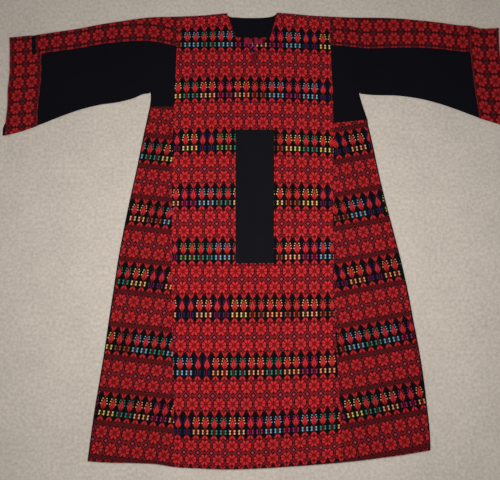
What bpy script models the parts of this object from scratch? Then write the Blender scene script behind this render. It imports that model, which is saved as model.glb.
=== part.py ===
"""An embroidered cotton dress, laid flat on its back with both sleeves spread.

Metres, +Z up. The origin is in the middle of the underside. +X points to the right of a
viewer who stands at the hem, and +Y runs from the hem to the neck. "Left" and "right"
are the viewer's. Sizes and tables are in millimetres, and metres() turns them into metres.
"""

import math
from collections import namedtuple

import bmesh
import bpy
import numpy as np

# Cloth: each wall's thickness, the gaps between walls and the air between the layers
BODY_CLOTH = 1.8
SLEEVE_CLOTH = 1.0
STRIP_CLOTH = 1.0
STRIP_GAP = 0.3
SEAM_GAP = 0.3
AIR = 0.6
MOST_FOLD = 2.6

# Rolled edges, where the upper layer comes down to the lower one: the face, halfway, the edge
ROLL = 4.0
ROLL_ANGLES = (90.0, 45.0, 0.0)

# Body rows: between the two bends they are level, past them they follow hem and shoulders
HEM_LEVEL = -690.0
HEM_BEND = -460.0
SHOULDER_LEVEL = 695.0
ROW_PITCH = 46.0
OUTSIDE_CELLS = 4
MIDDLE_CELLS = 5
GORE_CELLS = 4

# Neck, slit and let-in panel
NECK_FLOOR = 619.0
SLIT_X = -6.0
SLIT_LENGTH = 50.0
SLIT_WIDTH = 1.4
INSET_TOP = 318.0
INSET_BOTTOM = -101.0

# Sleeves: the bands, how the cloth steps over them, and the parts of the grid
BAND_WIDTH = 180.0
STRIP_SLOPE = 14.0
STEP_DOWN = 60.0
UNDERARM_PARTS = (0.0, 0.32, 0.64, 0.95, 1.0)
UNDERARM_ROWS = 2
CUFF_NOTCH = (0.20, 0.30)
CUFF_PARTS = (0.0, *CUFF_NOTCH, 0.65, 1.0)
BAND_ROWS = 2
REST_ROWS = 4

STRIP_STACK = STRIP_CLOTH + STRIP_GAP
SLIT_END = NECK_FLOOR - SLIT_LENGTH
MIDDLE = range(OUTSIDE_CELLS, OUTSIDE_CELLS + MIDDLE_CELLS)
SLIT_COLUMN = MIDDLE[MIDDLE_CELLS // 2]

SeamRow = namedtuple("SeamRow", "height left right")
EdgeRow = namedtuple("EdgeRow", "x height")
ReachRow = namedtuple("ReachRow", "height x")
CuffRow = namedtuple("CuffRow", "height inner outer turned")
BandRow = namedtuple("BandRow", "x front")
FoldRow = namedtuple("FoldRow", "x0 y0 x1 y1 width rise")
SleeveCut = namedtuple(
    "SleeveCut", "side fold under reach gore_top cuff band corner sections notched"
)
Finish = namedtuple("Finish", "name colour roughness")

RED_WORK = Finish("red_cross_stitch", (0.30, 0.012, 0.018), 0.85)
BLACK_COTTON = Finish("black_cotton", (0.010, 0.010, 0.014), 0.90)

# The long seams between the body panels and what is sewn to their sides
PANEL_SEAMS = (
    SeamRow(-720, -235.0, 256.0),
    SeamRow(-565, -240.0, 249.0),
    SeamRow(-331, -249.0, 239.5),
    SeamRow(-121, -254.0, 237.0),
    SeamRow(95, -256.0, 238.0),
    SeamRow(286, -257.0, 242.0),
    SeamRow(415, -254.0, 243.0),
    SeamRow(547, -250.0, 239.0),
    SeamRow(720, -247.0, 238.0),
)
# The side seams, where the front gores meet the back gores
SIDE_SEAMS = (
    SeamRow(-700, -492.0, 510.5),
    SeamRow(-622, -484.0, 510.0),
    SeamRow(-536, -474.5, 504.5),
    SeamRow(-449, -462.5, 498.0),
    SeamRow(-361, -450.5, 487.0),
    SeamRow(-272, -440.0, 472.5),
    SeamRow(-182, -428.5, 458.5),
    SeamRow(-90, -417.0, 440.5),
    SeamRow(2, -402.5, 419.5),
    SeamRow(95, -386.0, 398.0),
    SeamRow(190, -367.5, 378.5),
    SeamRow(286, -350.5, 361.0),
    SeamRow(392, -330.5, 338.0),
)
HEM = (
    EdgeRow(-495, -681.0),
    EdgeRow(-455, -684.0),
    EdgeRow(-338, -687.0),
    EdgeRow(-280, -690.5),
    EdgeRow(-233, -698.0),
    EdgeRow(-163, -701.5),
    EdgeRow(-70, -704.0),
    EdgeRow(26, -701.0),
    EdgeRow(99, -696.0),
    EdgeRow(157, -692.5),
    EdgeRow(225, -687.0),
    EdgeRow(333, -676.0),
    EdgeRow(421, -664.5),
    EdgeRow(515, -649.5),
)
SHOULDERS = (
    EdgeRow(-260, 690.5),
    EdgeRow(-177, 694.0),
    EdgeRow(-93, 702.0),
    EdgeRow(70, 704.0),
    EdgeRow(110, 701.0),
    EdgeRow(174, 694.5),
    EdgeRow(250, 690.5),
)
# The sides of the inset and, above the neck's floor, of the front neckline
MIDDLE_SIDES = (
    SeamRow(INSET_BOTTOM, -60.5, 55.0),
    SeamRow(INSET_TOP, -61.5, 57.0),
    SeamRow(NECK_FLOOR, -59.5, 47.5),
    SeamRow(664, -78.0, 60.5),
    SeamRow(706, -93.5, 70.5),
)
BACK_NECK = (
    EdgeRow(-94, 702.0),
    EdgeRow(-84, 692.0),
    EdgeRow(-62, 688.5),
    EdgeRow(-8, 686.5),
    EdgeRow(36, 688.5),
    EdgeRow(60, 694.5),
    EdgeRow(71, 703.5),
)

# Soft folds of the upper layer, each along a straight stretch
FOLDS = (
    FoldRow(-462, 566, -545, 512, 22, 1.6),
    FoldRow(-545, 512, -640, 420, 24, 2.2),
    FoldRow(-500, 596, -600, 520, 20, 1.0),
    FoldRow(-372, 560, -318, 520, 22, 1.5),
    FoldRow(-330, 585, -290, 540, 20, 1.2),
    FoldRow(-345, 490, -400, 470, 24, 1.3),
    FoldRow(560, 548, 640, 470, 24, 2.0),
    FoldRow(600, 545, 670, 492, 22, 1.2),
    FoldRow(345, 540, 440, 518, 20, 1.5),
    FoldRow(300, 470, 420, 470, 26, 1.2),
    FoldRow(-330, -600, -345, -420, 40, 1.4),
    FoldRow(-262, -690, -268, -560, 26, 1.5),
    FoldRow(300, -660, 330, -430, 44, 1.5),
    FoldRow(420, -640, 400, -470, 40, 1.3),
    FoldRow(-120, -700, -100, -520, 46, 1.4),
    FoldRow(90, -690, 60, -540, 46, 1.2),
    FoldRow(-300, 330, -262, 220, 34, 1.2),
    FoldRow(300, 300, 268, 160, 34, 1.2),
)

# A sleeve's fold and underarm edge run from the armhole to the cuff, its reach is where the
# part above the gores ends, and its plain sections lie between that part and the cuff
LEFT_SLEEVE = SleeveCut(
    side="left",
    fold=(
        EdgeRow(-245, 690.5),
        EdgeRow(-337, 687.5),
        EdgeRow(-368, 684.0),
        EdgeRow(-432, 674.0),
        EdgeRow(-495, 664.0),
        EdgeRow(-559, 650.5),
        EdgeRow(-622, 640.5),
        EdgeRow(-685, 630.5),
        EdgeRow(-790, 619.5),
    ),
    under=(
        EdgeRow(-328, 437.0),
        EdgeRow(-354, 433.0),
        EdgeRow(-378, 422.0),
        EdgeRow(-425, 408.5),
        EdgeRow(-487, 399.0),
        EdgeRow(-550, 382.5),
        EdgeRow(-611, 360.0),
        EdgeRow(-673, 334.0),
        EdgeRow(-734, 311.5),
        EdgeRow(-790, 297.0),
    ),
    reach=(
        ReachRow(392, -330.5),
        ReachRow(414, -328.0),
        ReachRow(437, -328.5),
        ReachRow(700, -330.0),
    ),
    gore_top=(EdgeRow(-335, 392.0), EdgeRow(-245, 392.0)),
    cuff=(
        CuffRow(290, -678.0, -779.0, -786.5),
        CuffRow(306, -678.0, -778.0, -786.5),
        CuffRow(324, -678.5, -777.0, -786.0),
        CuffRow(345, -679.5, -777.5, -778.5),
        CuffRow(392, -680.0, -775.0, -775.0),
        CuffRow(448, -676.0, -776.5, -776.5),
        CuffRow(497, -674.0, -773.5, -773.5),
        CuffRow(547, -676.0, -775.0, -775.0),
        CuffRow(630, -680.0, -779.5, -779.5),
    ),
    band=(
        BandRow(-700, 61.0),
        BandRow(-557, 63.0),
        BandRow(-414, 67.0),
        BandRow(-335, 76.0),
        BandRow(-287, 86.0),
        BandRow(-247, 96.0),
    ),
    corner=437.0,
    sections=(-332.5, -365, -410, -455, -500, -545, -588, -628, -662),
    notched=True,
)
RIGHT_SLEEVE = SleeveCut(
    side="right",
    fold=(
        EdgeRow(235, 690.5),
        EdgeRow(301, 687.5),
        EdgeRow(365, 687.0),
        EdgeRow(461, 683.5),
        EdgeRow(525, 677.5),
        EdgeRow(588, 670.0),
        EdgeRow(651, 661.5),
        EdgeRow(684, 659.5),
        EdgeRow(715, 651.0),
        EdgeRow(735, 650.5),
        EdgeRow(790, 654.0),
    ),
    under=(
        EdgeRow(320, 436.0),
        EdgeRow(359, 431.5),
        EdgeRow(453, 428.0),
        EdgeRow(516, 418.5),
        EdgeRow(578, 402.0),
        EdgeRow(640, 379.5),
        EdgeRow(671, 367.0),
        EdgeRow(738, 344.0),
        EdgeRow(790, 326.5),
    ),
    reach=(
        ReachRow(350, 349.5),
        ReachRow(366, 345.0),
        ReachRow(392, 336.5),
        ReachRow(415, 330.5),
        ReachRow(435, 325.0),
        ReachRow(700, 322.0),
    ),
    gore_top=(EdgeRow(235, 338.5), EdgeRow(355, 350.5)),
    cuff=(
        CuffRow(326, 702.0, 787.0, 787.0),
        CuffRow(364, 698.0, 785.5, 785.5),
        CuffRow(448, 688.0, 779.5, 779.5),
        CuffRow(514, 683.0, 775.0, 775.0),
        CuffRow(578, 679.0, 772.0, 772.0),
        CuffRow(660, 680.0, 773.0, 773.0),
    ),
    band=(
        BandRow(238, 91.0),
        BandRow(300, 94.0),
        BandRow(347, 99.0),
        BandRow(436, 95.0),
        BandRow(553, 86.0),
        BandRow(690, 84.0),
    ),
    corner=435.0,
    sections=(329.0, 362, 407, 452, 497, 542, 587, 630, 666),
    notched=False,
)


def clear_scene():
    """Starts from an empty scene."""
    for item in list(bpy.data.objects):
        bpy.data.objects.remove(item)


def metres(points):
    """Turns millimetres into metres."""
    return np.asarray(points, float) * 0.001


def read(rows, key, name, at):
    """Reads a table's column against its key column, along a smooth curve."""
    rows = sorted(rows, key=lambda row: getattr(row, key))
    places = np.array([getattr(row, key) for row in rows], float)
    values = np.array([getattr(row, name) for row in rows], float)
    slopes = np.gradient(values, places)
    at = min(max(at, places[0]), places[-1])
    k = min(max(int(np.searchsorted(places, at)) - 1, 0), len(places) - 2)
    span = places[k + 1] - places[k]
    t = (at - places[k]) / span
    start = values[k] * (1 + 2 * t) * (1 - t) ** 2 + slopes[k] * span * t * (1 - t) ** 2
    end = values[k + 1] * t**2 * (3 - 2 * t) + slopes[k + 1] * span * t**2 * (t - 1)
    return float(start + end)


def read_straight(rows, key, name, at):
    """Reads a table's column against its key column, along straight lines."""
    return float(np.interp(at, [getattr(r, key) for r in rows], [getattr(r, name) for r in rows]))


def ease(value):
    """Goes softly from 0 to 1."""
    value = min(max(value, 0.0), 1.0)
    return value * value * (3 - 2 * value)


def air_under(x, y):
    """Height of the air under the upper layer, with its soft folds."""
    height = AIR
    for fold in FOLDS:
        run = np.array([fold.x1 - fold.x0, fold.y1 - fold.y0], float)
        along = ((x - fold.x0) * run[0] + (y - fold.y0) * run[1]) / (run @ run)
        along = min(max(along, 0.0), 1.0)
        off = math.hypot(x - fold.x0 - along * run[0], y - fold.y0 - along * run[1])
        height += fold.rise * math.exp(-((off / fold.width) ** 2))
    return min(height, AIR + MOST_FOLD)


def cell_corners(cell, rows, around):
    """The four grid places round a cell, in order. The rows of a ring close on themselves."""
    row, col = cell
    following = (row + 1) % rows if around else row + 1
    return ((row, col), (row, col + 1), (following, col + 1), (following, col))


def free_edges(cells, rows, around):
    """The edges that only one cell has, each with that cell."""
    owners = {}
    for cell in cells:
        ring = cell_corners(cell, rows, around)
        for start, end in zip(ring, ring[1:] + ring[:1]):
            owners.setdefault(frozenset((start, end)), []).append((start, end, cell))
    return [found[0] for found in owners.values() if len(found) == 1]


def seam_moves(points, cells, around):
    """How far each point on a free edge moves into its own cloth, for half a seam gap."""
    rows = points.shape[0]
    inwards_at = {}
    for start, end, cell in free_edges(cells, rows, around):
        centre = np.mean([points[place] for place in cell_corners(cell, rows, around)], axis=0)
        run = points[end] - points[start]
        run /= np.linalg.norm(run)
        inward = centre - (points[start] + points[end]) / 2
        inward -= run * (inward @ run)
        inward /= np.linalg.norm(inward)
        inwards_at.setdefault(start, []).append(inward)
        inwards_at.setdefault(end, []).append(inward)
    moves = np.zeros_like(points)
    for place, inwards in inwards_at.items():
        first, last = inwards[0], inwards[-1]
        moves[place] = SEAM_GAP / 2 * (first + last) / max(0.4, 1 + first @ last)
    return moves


def build_wall(name, outer, inner, cells, finish, around=False):
    """Makes one closed cloth wall.

    outer and inner are grids of points on the wall's two faces, and cells are the places
    of the grid that the cloth fills. around says that the grid's rows close into a ring.
    """
    cells = sorted(cells)
    rows = outer.shape[0]
    moves = seam_moves(outer, cells, around)
    solid = bmesh.new()
    faces = []
    for grid in (outer, inner):
        points = metres(grid + moves)
        points[:, :, 2] = np.maximum(points[:, :, 2], 0.0)
        made = {}
        for cell in cells:
            ring = cell_corners(cell, rows, around)
            for place in ring:
                if place not in made:
                    made[place] = solid.verts.new(points[place])
            solid.faces.new([made[place] for place in ring])
        faces.append(made)
    over, under = faces
    for start, end, _ in free_edges(cells, rows, around):
        solid.faces.new((over[start], over[end], under[end], under[start]))
    bmesh.ops.recalc_face_normals(solid, faces=solid.faces)
    mesh = bpy.data.meshes.new(name)
    solid.to_mesh(mesh)
    solid.free()
    mesh.materials.append(make_material(name, finish))
    bpy.context.scene.collection.objects.link(bpy.data.objects.new(name, mesh))


def make_material(piece, finish):
    """The piece's own plain material."""
    made = bpy.data.materials.new(f"{piece}_{finish.name}")
    made.use_nodes = True
    shader = made.node_tree.nodes["Principled BSDF"]
    shader.inputs["Base Color"].default_value = (*finish.colour, 1.0)
    shader.inputs["Roughness"].default_value = finish.roughness
    shader.inputs["Metallic"].default_value = 0.0
    return made


def split(rows_of_pairs):
    """Parts rows of outer and inner points into the two grids."""
    outer = np.array([[pair[0] for pair in row] for row in rows_of_pairs], float)
    inner = np.array([[pair[1] for pair in row] for row in rows_of_pairs], float)
    return outer, inner


def wall_point(place, heights, cloth, inward=(0.0, 0.0), angle=90.0):
    """A pair of points, on a wall's outer and inner face.

    place is where an edge lies, seen from above, and inward points from it into the cloth.
    At 90 degrees the pair is past the roll, and at 0 it is on the very edge. heights are
    those of the outer face, the inner face and the middle of the two layers.
    """
    turn = 1 - math.cos(math.radians(angle))
    rise = math.sin(math.radians(angle))
    face, inside, middle = heights
    place, inward = np.array(place), np.array(inward)
    outer = place + inward * ROLL * turn
    inner = place + inward * (cloth + (ROLL - cloth) * turn)
    return (
        (*outer, middle + rise * (face - middle)),
        (*inner, middle + rise * (inside - middle)),
    )


def body_point(x, y, front, inward=(0.0, 0.0), angle=90.0):
    """A pair of points of the body's upper or lower layer."""
    middle = BODY_CLOTH + AIR / 2
    heights = (0.0, BODY_CLOTH, middle)
    if front:
        inside = BODY_CLOTH + air_under(x, y)
        heights = (inside + BODY_CLOTH, inside, middle)
    return wall_point((x, y), heights, BODY_CLOTH, inward, angle)


def panel_levels():
    """The levels of the body's rows, from the hem to the shoulder."""
    stops = (HEM_LEVEL, HEM_BEND, INSET_BOTTOM, INSET_TOP, SLIT_END, NECK_FLOOR, SHOULDER_LEVEL)
    rows = [stops[0]]
    for low, high in zip(stops, stops[1:]):
        count = max(1, round((high - low) / ROW_PITCH))
        rows += [low + (high - low) * step / count for step in range(1, count + 1)]
    return rows


def body_height(level, x, top=None):
    """Where a row runs at x: bent to the hem below, and above to top or the shoulders."""
    if level < HEM_BEND:
        part = (HEM_BEND - level) / (HEM_BEND - HEM_LEVEL)
        return HEM_BEND + part * (read(HEM, "x", "height", x) - HEM_BEND)
    if level > NECK_FLOOR:
        part = (level - NECK_FLOOR) / (SHOULDER_LEVEL - NECK_FLOOR)
        if top is None:
            top = read(SHOULDERS, "x", "height", x) - ROLL
        return NECK_FLOOR + part * (top - NECK_FLOOR)
    return level


def panel_columns(level):
    """Where the body panel's columns stand at one level, from its left to its right seam."""
    left = read(PANEL_SEAMS, "height", "left", level)
    right = read(PANEL_SEAMS, "height", "right", level)
    middle_left = read(MIDDLE_SIDES, "height", "left", level)
    middle_right = read(MIDDLE_SIDES, "height", "right", level)
    steps = np.linspace(0, 1, OUTSIDE_CELLS + 1)
    before = list(left + (middle_left - left) * steps)
    after = list(middle_right + (right - middle_right) * steps)
    if level < SLIT_END:
        between = list(np.linspace(middle_left, middle_right, MIDDLE_CELLS + 1)[1:-1])
    else:
        between = [
            (middle_left + SLIT_X) / 2,
            SLIT_X - SLIT_WIDTH / 2,
            SLIT_X + SLIT_WIDTH / 2,
            (middle_right + SLIT_X) / 2,
        ]
    return before + between + after


def panel_grids(front):
    """The two grids of a body panel, whose last rows roll over the shoulders."""
    rows = []
    for level in panel_levels():
        row = []
        for col, x in enumerate(panel_columns(level)):
            over_neck = not front and MIDDLE[0] < col <= MIDDLE[-1]
            top = read(BACK_NECK, "x", "height", x) if over_neck else None
            row.append(body_point(x, body_height(level, x, top), front))
        rows.append(row)
    for angle in ROLL_ANGLES[1:]:
        row = []
        for x in panel_columns(SHOULDER_LEVEL):
            shoulder = read(SHOULDERS, "x", "height", x)
            row.append(body_point(x, shoulder, front, (0.0, -1.0), angle))
        rows.append(row)
    return split(rows)


def build_front_panel():
    """The front panel, with its neckline and slit, and the inset let into it."""
    outer, inner = panel_grids(front=True)
    places = panel_levels() + [SHOULDER_LEVEL]
    panel, inset = set(), set()
    for row in range(outer.shape[0] - 1):
        for col in range(outer.shape[1] - 1):
            if col not in MIDDLE or places[row] < INSET_BOTTOM:
                panel.add((row, col))
            elif places[row] < INSET_TOP:
                inset.add((row, col))
            elif places[row] < SLIT_END or (places[row] < NECK_FLOOR and col != SLIT_COLUMN):
                panel.add((row, col))
    build_wall("front_panel", outer, inner, panel, RED_WORK)
    build_wall("front_inset", outer, inner, inset, BLACK_COTTON)


def build_back_panel():
    """The back panel, cut like the front one but whole, with a shallow neck."""
    outer, inner = panel_grids(front=False)
    shoulder_row = len(panel_levels()) - 1
    cells = set()
    for row in range(outer.shape[0] - 1):
        for col in range(outer.shape[1] - 1):
            if row < shoulder_row or col not in MIDDLE:
                cells.add((row, col))
    build_wall("back_panel", outer, inner, cells, RED_WORK)


def gore_top(cut, x):
    """Height of the seam between a gore and the sleeve above it."""
    return read_straight(cut.gore_top, "x", "height", x)


def build_gore(cut, front):
    """A gore between a body panel and the side seam, where its edge rolls to its twin's."""
    inward = 1.0 if cut.side == "left" else -1.0
    top_level = min(row.height for row in cut.gore_top)
    below = [level for level in panel_levels() if level < top_level - ROW_PITCH / 3]
    rows = []
    for level in [*below, top_level]:
        seam = read(PANEL_SEAMS, "height", cut.side, level)
        side = read(SIDE_SEAMS, "height", cut.side, level)
        row = []
        for x in np.linspace(seam, side + inward * ROLL, GORE_CELLS + 1):
            y = gore_top(cut, x) if level == top_level else body_height(level, x)
            row.append(body_point(x, y, front))
        y = gore_top(cut, side) if level == top_level else body_height(level, side)
        for angle in ROLL_ANGLES[1:]:
            row.append(body_point(side, y, front, (inward, 0.0), angle))
        rows.append(row)
    outer, inner = split(rows)
    cells = {(r, c) for r in range(outer.shape[0] - 1) for c in range(outer.shape[1] - 1)}
    layer = "front" if front else "back"
    build_wall(f"{layer}_gore_{cut.side}", outer, inner, cells, RED_WORK)


class Section:
    """One section across a sleeve, from its fold down both layers to its lower edge."""

    def __init__(self, cut, kind, value, before_cuff):
        self.cut = cut
        self.kind = kind
        self.value = value
        self.is_tube = kind != "underarm"
        self.before_cuff = before_cuff
        self.fold_y = read(cut.fold, "x", "height", self.x_at(SHOULDER_LEVEL)) - STRIP_STACK
        self.low_y = cut.corner
        if self.is_tube:
            self.low_y = read(cut.under, "x", "height", self.x_at(cut.under[-1].height))
        self.front_band = read(cut.band, "x", "front", self.x_at(self.fold_y)) - STRIP_STACK
        self.back_band = BAND_WIDTH - self.front_band
        self.drop = self.fold_y - self.low_y - ROLL - (ROLL if self.is_tube else 0.0)

    def x_at(self, y, turned=False):
        """Where the section runs at one height, on the upper layer or the turned lower one."""
        if self.kind == "plain":
            return self.value
        if self.kind == "underarm":
            seam = read(PANEL_SEAMS, "height", self.cut.side, y)
            reach = read_straight(self.cut.reach, "height", "x", y)
            return seam + (reach - seam) * self.value
        inner = read(self.cut.cuff, "height", "inner", y)
        outer = read(self.cut.cuff, "height", "turned" if turned else "outer", y)
        return inner + (outer - inner) * self.value

    def heights(self, x, y, distance, front):
        """Heights of the faces at a distance from the fold, where the layers lie on strips."""
        on_strip = self.kind == "cuff" or distance <= self.back_band
        low = STRIP_STACK if on_strip else 0.0
        past_band = ease((distance - self.back_band - STRIP_SLOPE) / STEP_DOWN)
        to_cuff = ease((self.before_cuff + 0.5) / 2.5)
        under = STRIP_STACK * (1 - past_band * to_cuff)
        top = under + 2 * SLEEVE_CLOTH + air_under(x, y)
        middle = (low + top) / 2
        if front:
            return top, top - SLEEVE_CLOTH, middle
        return low, low + SLEEVE_CLOTH, middle

    def point(self, y, distance, front, inward=0.0, angle=90.0):
        """A pair of points of one layer; inward is the way off a rolled edge, along Y."""
        x = self.x_at(y, turned=not front)
        heights = self.heights(x, y, distance, front)
        return wall_point((x, y), heights, SLEEVE_CLOTH, (0.0, inward), angle)

    def layer(self, front):
        """The points down one layer, the band's rows first."""
        band = self.front_band if front else self.back_band
        rows = [band * step / BAND_ROWS for step in range(1, BAND_ROWS + 1)]
        rows.append(band + STRIP_SLOPE)
        rows += list(np.linspace(rows[-1], self.drop, REST_ROWS + 1)[1:])
        return [self.point(self.fold_y - ROLL - row, row, front) for row in rows]

    def low_edge(self, front):
        """The points below a layer: round the underarm seam, or down to the gore's seam."""
        points = []
        for step in range(1, UNDERARM_ROWS + 1):
            if self.is_tube:
                angle = 90.0 * (1 - step / (UNDERARM_ROWS + 0.5))
                points.append(self.point(self.low_y, self.drop, front, 1.0, angle))
                continue
            end = gore_top(self.cut, self.x_at(self.cut.corner))
            end = gore_top(self.cut, self.x_at(end))
            y = self.low_y + (end - self.low_y) * step / UNDERARM_ROWS
            on_side = self.value == UNDERARM_PARTS[-1]
            points.append(self.point(y, self.drop, front, 0.0, 0.0 if on_side else 90.0))
        return points

    def fold(self):
        """The points over the fold, from the upper layer to the lower one."""
        upper = [self.point(self.fold_y, 0.0, True, -1.0, angle) for angle in ROLL_ANGLES]
        lower = [self.point(self.fold_y, 0.0, False, -1.0, angle) for angle in ROLL_ANGLES]
        return upper + lower[:-1][::-1]

    def ring(self):
        """All its points: over the fold, down the lower layer and up the upper one."""
        lower = self.layer(front=False) + self.low_edge(front=False)
        upper = self.layer(front=True) + self.low_edge(front=True)
        return self.fold() + lower + upper[::-1]


def outward_directions(points, side):
    """Directions out of a sleeve at each point of its ring grid."""
    around = np.roll(points, -1, axis=0) - np.roll(points, 1, axis=0)
    along = np.gradient(points, axis=1)
    found = np.cross(around, along)
    if side == "right":
        found = -found
    return found / np.linalg.norm(found, axis=2, keepdims=True)


def sleeve_sections(cut):
    """The sleeve's sections from the armhole to the cuff."""
    kinds = [("underarm", part) for part in UNDERARM_PARTS]
    kinds += [("plain", x) for x in cut.sections]
    first_on_cuff = len(kinds)
    kinds += [("cuff", part) for part in CUFF_PARTS]
    return [Section(cut, *kind, first_on_cuff - at) for at, kind in enumerate(kinds)]


def build_sleeve(cut):
    """A sleeve with the band along its fold and the band round its cuff."""
    sections = sleeve_sections(cut)
    outer, inner = split([section.ring() for section in sections])
    outer, inner = outer.transpose(1, 0, 2), inner.transpose(1, 0, 2)
    rows, columns = outer.shape[0], outer.shape[1] - 1
    reach_column = len(UNDERARM_PARTS) - 1
    cuff_column = len(UNDERARM_PARTS) + len(cut.sections)
    fold_rows = 2 * len(ROLL_ANGLES) - 2
    seam_row = fold_rows + BAND_ROWS + 1 + REST_ROWS + UNDERARM_ROWS

    cells = set()
    for row in range(rows):
        for col in range(columns):
            beside_reach = col == reach_column and abs(row - seam_row) <= UNDERARM_ROWS
            over_gores = col < reach_column and row == seam_row
            if not beside_reach and not over_gores:
                cells.add((row, col))
    build_wall(f"sleeve_{cut.side}", outer, inner, cells, BLACK_COTTON, around=True)

    band_rows = set(range(rows - BAND_ROWS, rows)) | set(range(fold_rows + BAND_ROWS))
    notch = 1 if cut.notched else 0
    band = {(row, col) for row in band_rows for col in range(cuff_column + notch)}
    cuff = set()
    for row in range(rows):
        first = cuff_column + 2 * notch if row in band_rows else cuff_column
        cuff |= {(row, col) for col in range(first, columns)}
    out = outward_directions(outer, cut.side)
    lower, upper = outer + out * STRIP_GAP, outer + out * STRIP_STACK
    build_wall(f"shoulder_band_{cut.side}", upper, lower, band, RED_WORK, around=True)
    build_wall(f"cuff_band_{cut.side}", upper, lower, cuff, RED_WORK, around=True)


def main():
    """Builds the dress."""
    clear_scene()
    build_front_panel()
    build_back_panel()
    for cut in (LEFT_SLEEVE, RIGHT_SLEEVE):
        build_gore(cut, front=True)
        build_gore(cut, front=False)
        build_sleeve(cut)


main()
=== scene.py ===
"""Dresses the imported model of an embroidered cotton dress, laid flat on a pale floor.

The garment's own sizes are in millimetres, as its maker would measure them, and Wall and
StitchRow turn them into Blender's metres. +X points right for a viewer who stands at the
hem, +Y runs from the hem to the neck, and "left" and "right" are the viewer's. The charts
have one letter for each cross stitch, as on squared paper.
"""

import logging
import math
from collections.abc import Sequence
from dataclasses import dataclass, field
from enum import Enum
from typing import NamedTuple

import bpy
import numpy as np
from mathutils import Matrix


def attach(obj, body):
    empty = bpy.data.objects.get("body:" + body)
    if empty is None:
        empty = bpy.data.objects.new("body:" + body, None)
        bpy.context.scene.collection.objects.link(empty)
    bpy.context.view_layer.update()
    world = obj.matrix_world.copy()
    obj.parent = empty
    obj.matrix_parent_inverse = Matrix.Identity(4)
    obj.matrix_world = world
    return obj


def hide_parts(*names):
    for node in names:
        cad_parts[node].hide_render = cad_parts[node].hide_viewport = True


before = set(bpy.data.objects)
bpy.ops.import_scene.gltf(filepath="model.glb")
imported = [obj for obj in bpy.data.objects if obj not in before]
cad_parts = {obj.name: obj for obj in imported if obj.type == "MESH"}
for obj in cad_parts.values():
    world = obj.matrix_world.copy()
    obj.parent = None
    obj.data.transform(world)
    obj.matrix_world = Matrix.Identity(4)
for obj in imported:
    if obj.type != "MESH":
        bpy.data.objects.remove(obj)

log = logging.getLogger("dress")

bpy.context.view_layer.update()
BODY = "root"
STITCH_MAP = "stitches"
MM = 0.001
UP = (0.0, 0.0, 1.0)
FLAT_ANGLE = 90.0
FAR = 1000.0
HAIR = 1e-6

Socket = bpy.types.NodeSocket
Number = float | np.ndarray
Colour = tuple[int, int, int]


class SeamRow(NamedTuple):
    """Where a pair of seams runs at one height."""

    height: float
    left: float
    right: float


class EdgeRow(NamedTuple):
    """How high an edge lies at one place across."""

    x: float
    height: float


class CuffRow(NamedTuple):
    """Where a cuff's inner edge, outer edge and turned lower layer lie at one height."""

    height: float
    inner: float
    outer: float
    turned: float


class BandRow(NamedTuple):
    """How far a shoulder band comes down the upper layer at one place."""

    x: float
    front: float


class ColumnRow(NamedTuple):
    """Where the first and the last column of rosettes stand at one height."""

    height: float
    first: float
    last: float


class Spacing(NamedTuple):
    """How far the first rosette's middle is from an edge, and the next from it."""

    first: float
    pitch: float

    def count(self, distance: Number, crosses: int) -> Number:
        """Counts crosses at a distance from the edge, with so many to a pitch."""
        return (distance - self.first) / self.pitch * crosses + 0.5


class Cut(NamedTuple):
    """A cloth's cut in metres, with its area where it isn't a rectangle."""

    width: float
    length: float
    area: float | None = None


class Fold(NamedTuple):
    """A soft fold of the upper layer along a straight stretch."""

    x0: float
    y0: float
    x1: float
    y1: float
    width: float
    rise: float


class Ripple(NamedTuple):
    """A gentle swell of the whole upper layer, with its crests' distance both ways."""

    across: float
    along: float
    shift: float
    rise: float


class RowDrop(NamedTuple):
    """How far a row of the panel's crosses hangs down at its two ends and its middle."""

    height: float
    left: float
    middle: float
    right: float


class Satin(NamedTuple):
    """A block of satin stitch: the line through its middle and its stitches."""

    name: str
    thread: str
    x0: float
    y0: float
    x1: float
    y1: float
    length: float
    thick: float


def table(kind: type[NamedTuple], *rows: Sequence[float]) -> tuple[NamedTuple, ...]:
    """Makes a table's rows, all of one kind."""
    return tuple(kind(*row) for row in rows)


class Side(Enum):
    """The garment's two sides, as the viewer sees them."""

    LEFT = "left"
    RIGHT = "right"

    @property
    def inward(self) -> float:
        """The sign of the way from this side to the middle."""
        return 1.0 if self is Side.LEFT else -1.0


class Layer(Enum):
    """The two layers of cloth, the upper one in view."""

    FRONT = "front"
    BACK = "back"


class Ground(Enum):
    """What a section of the sleeve belongs to."""

    UNDERARM = "underarm"
    PLAIN = "plain"
    CUFF = "cuff"


class Repeat(Enum):
    """How the cross stitch motifs follow each other on a piece."""

    PANEL = "panel"
    GORE = "gore"
    STRIP = "strip"


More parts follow.
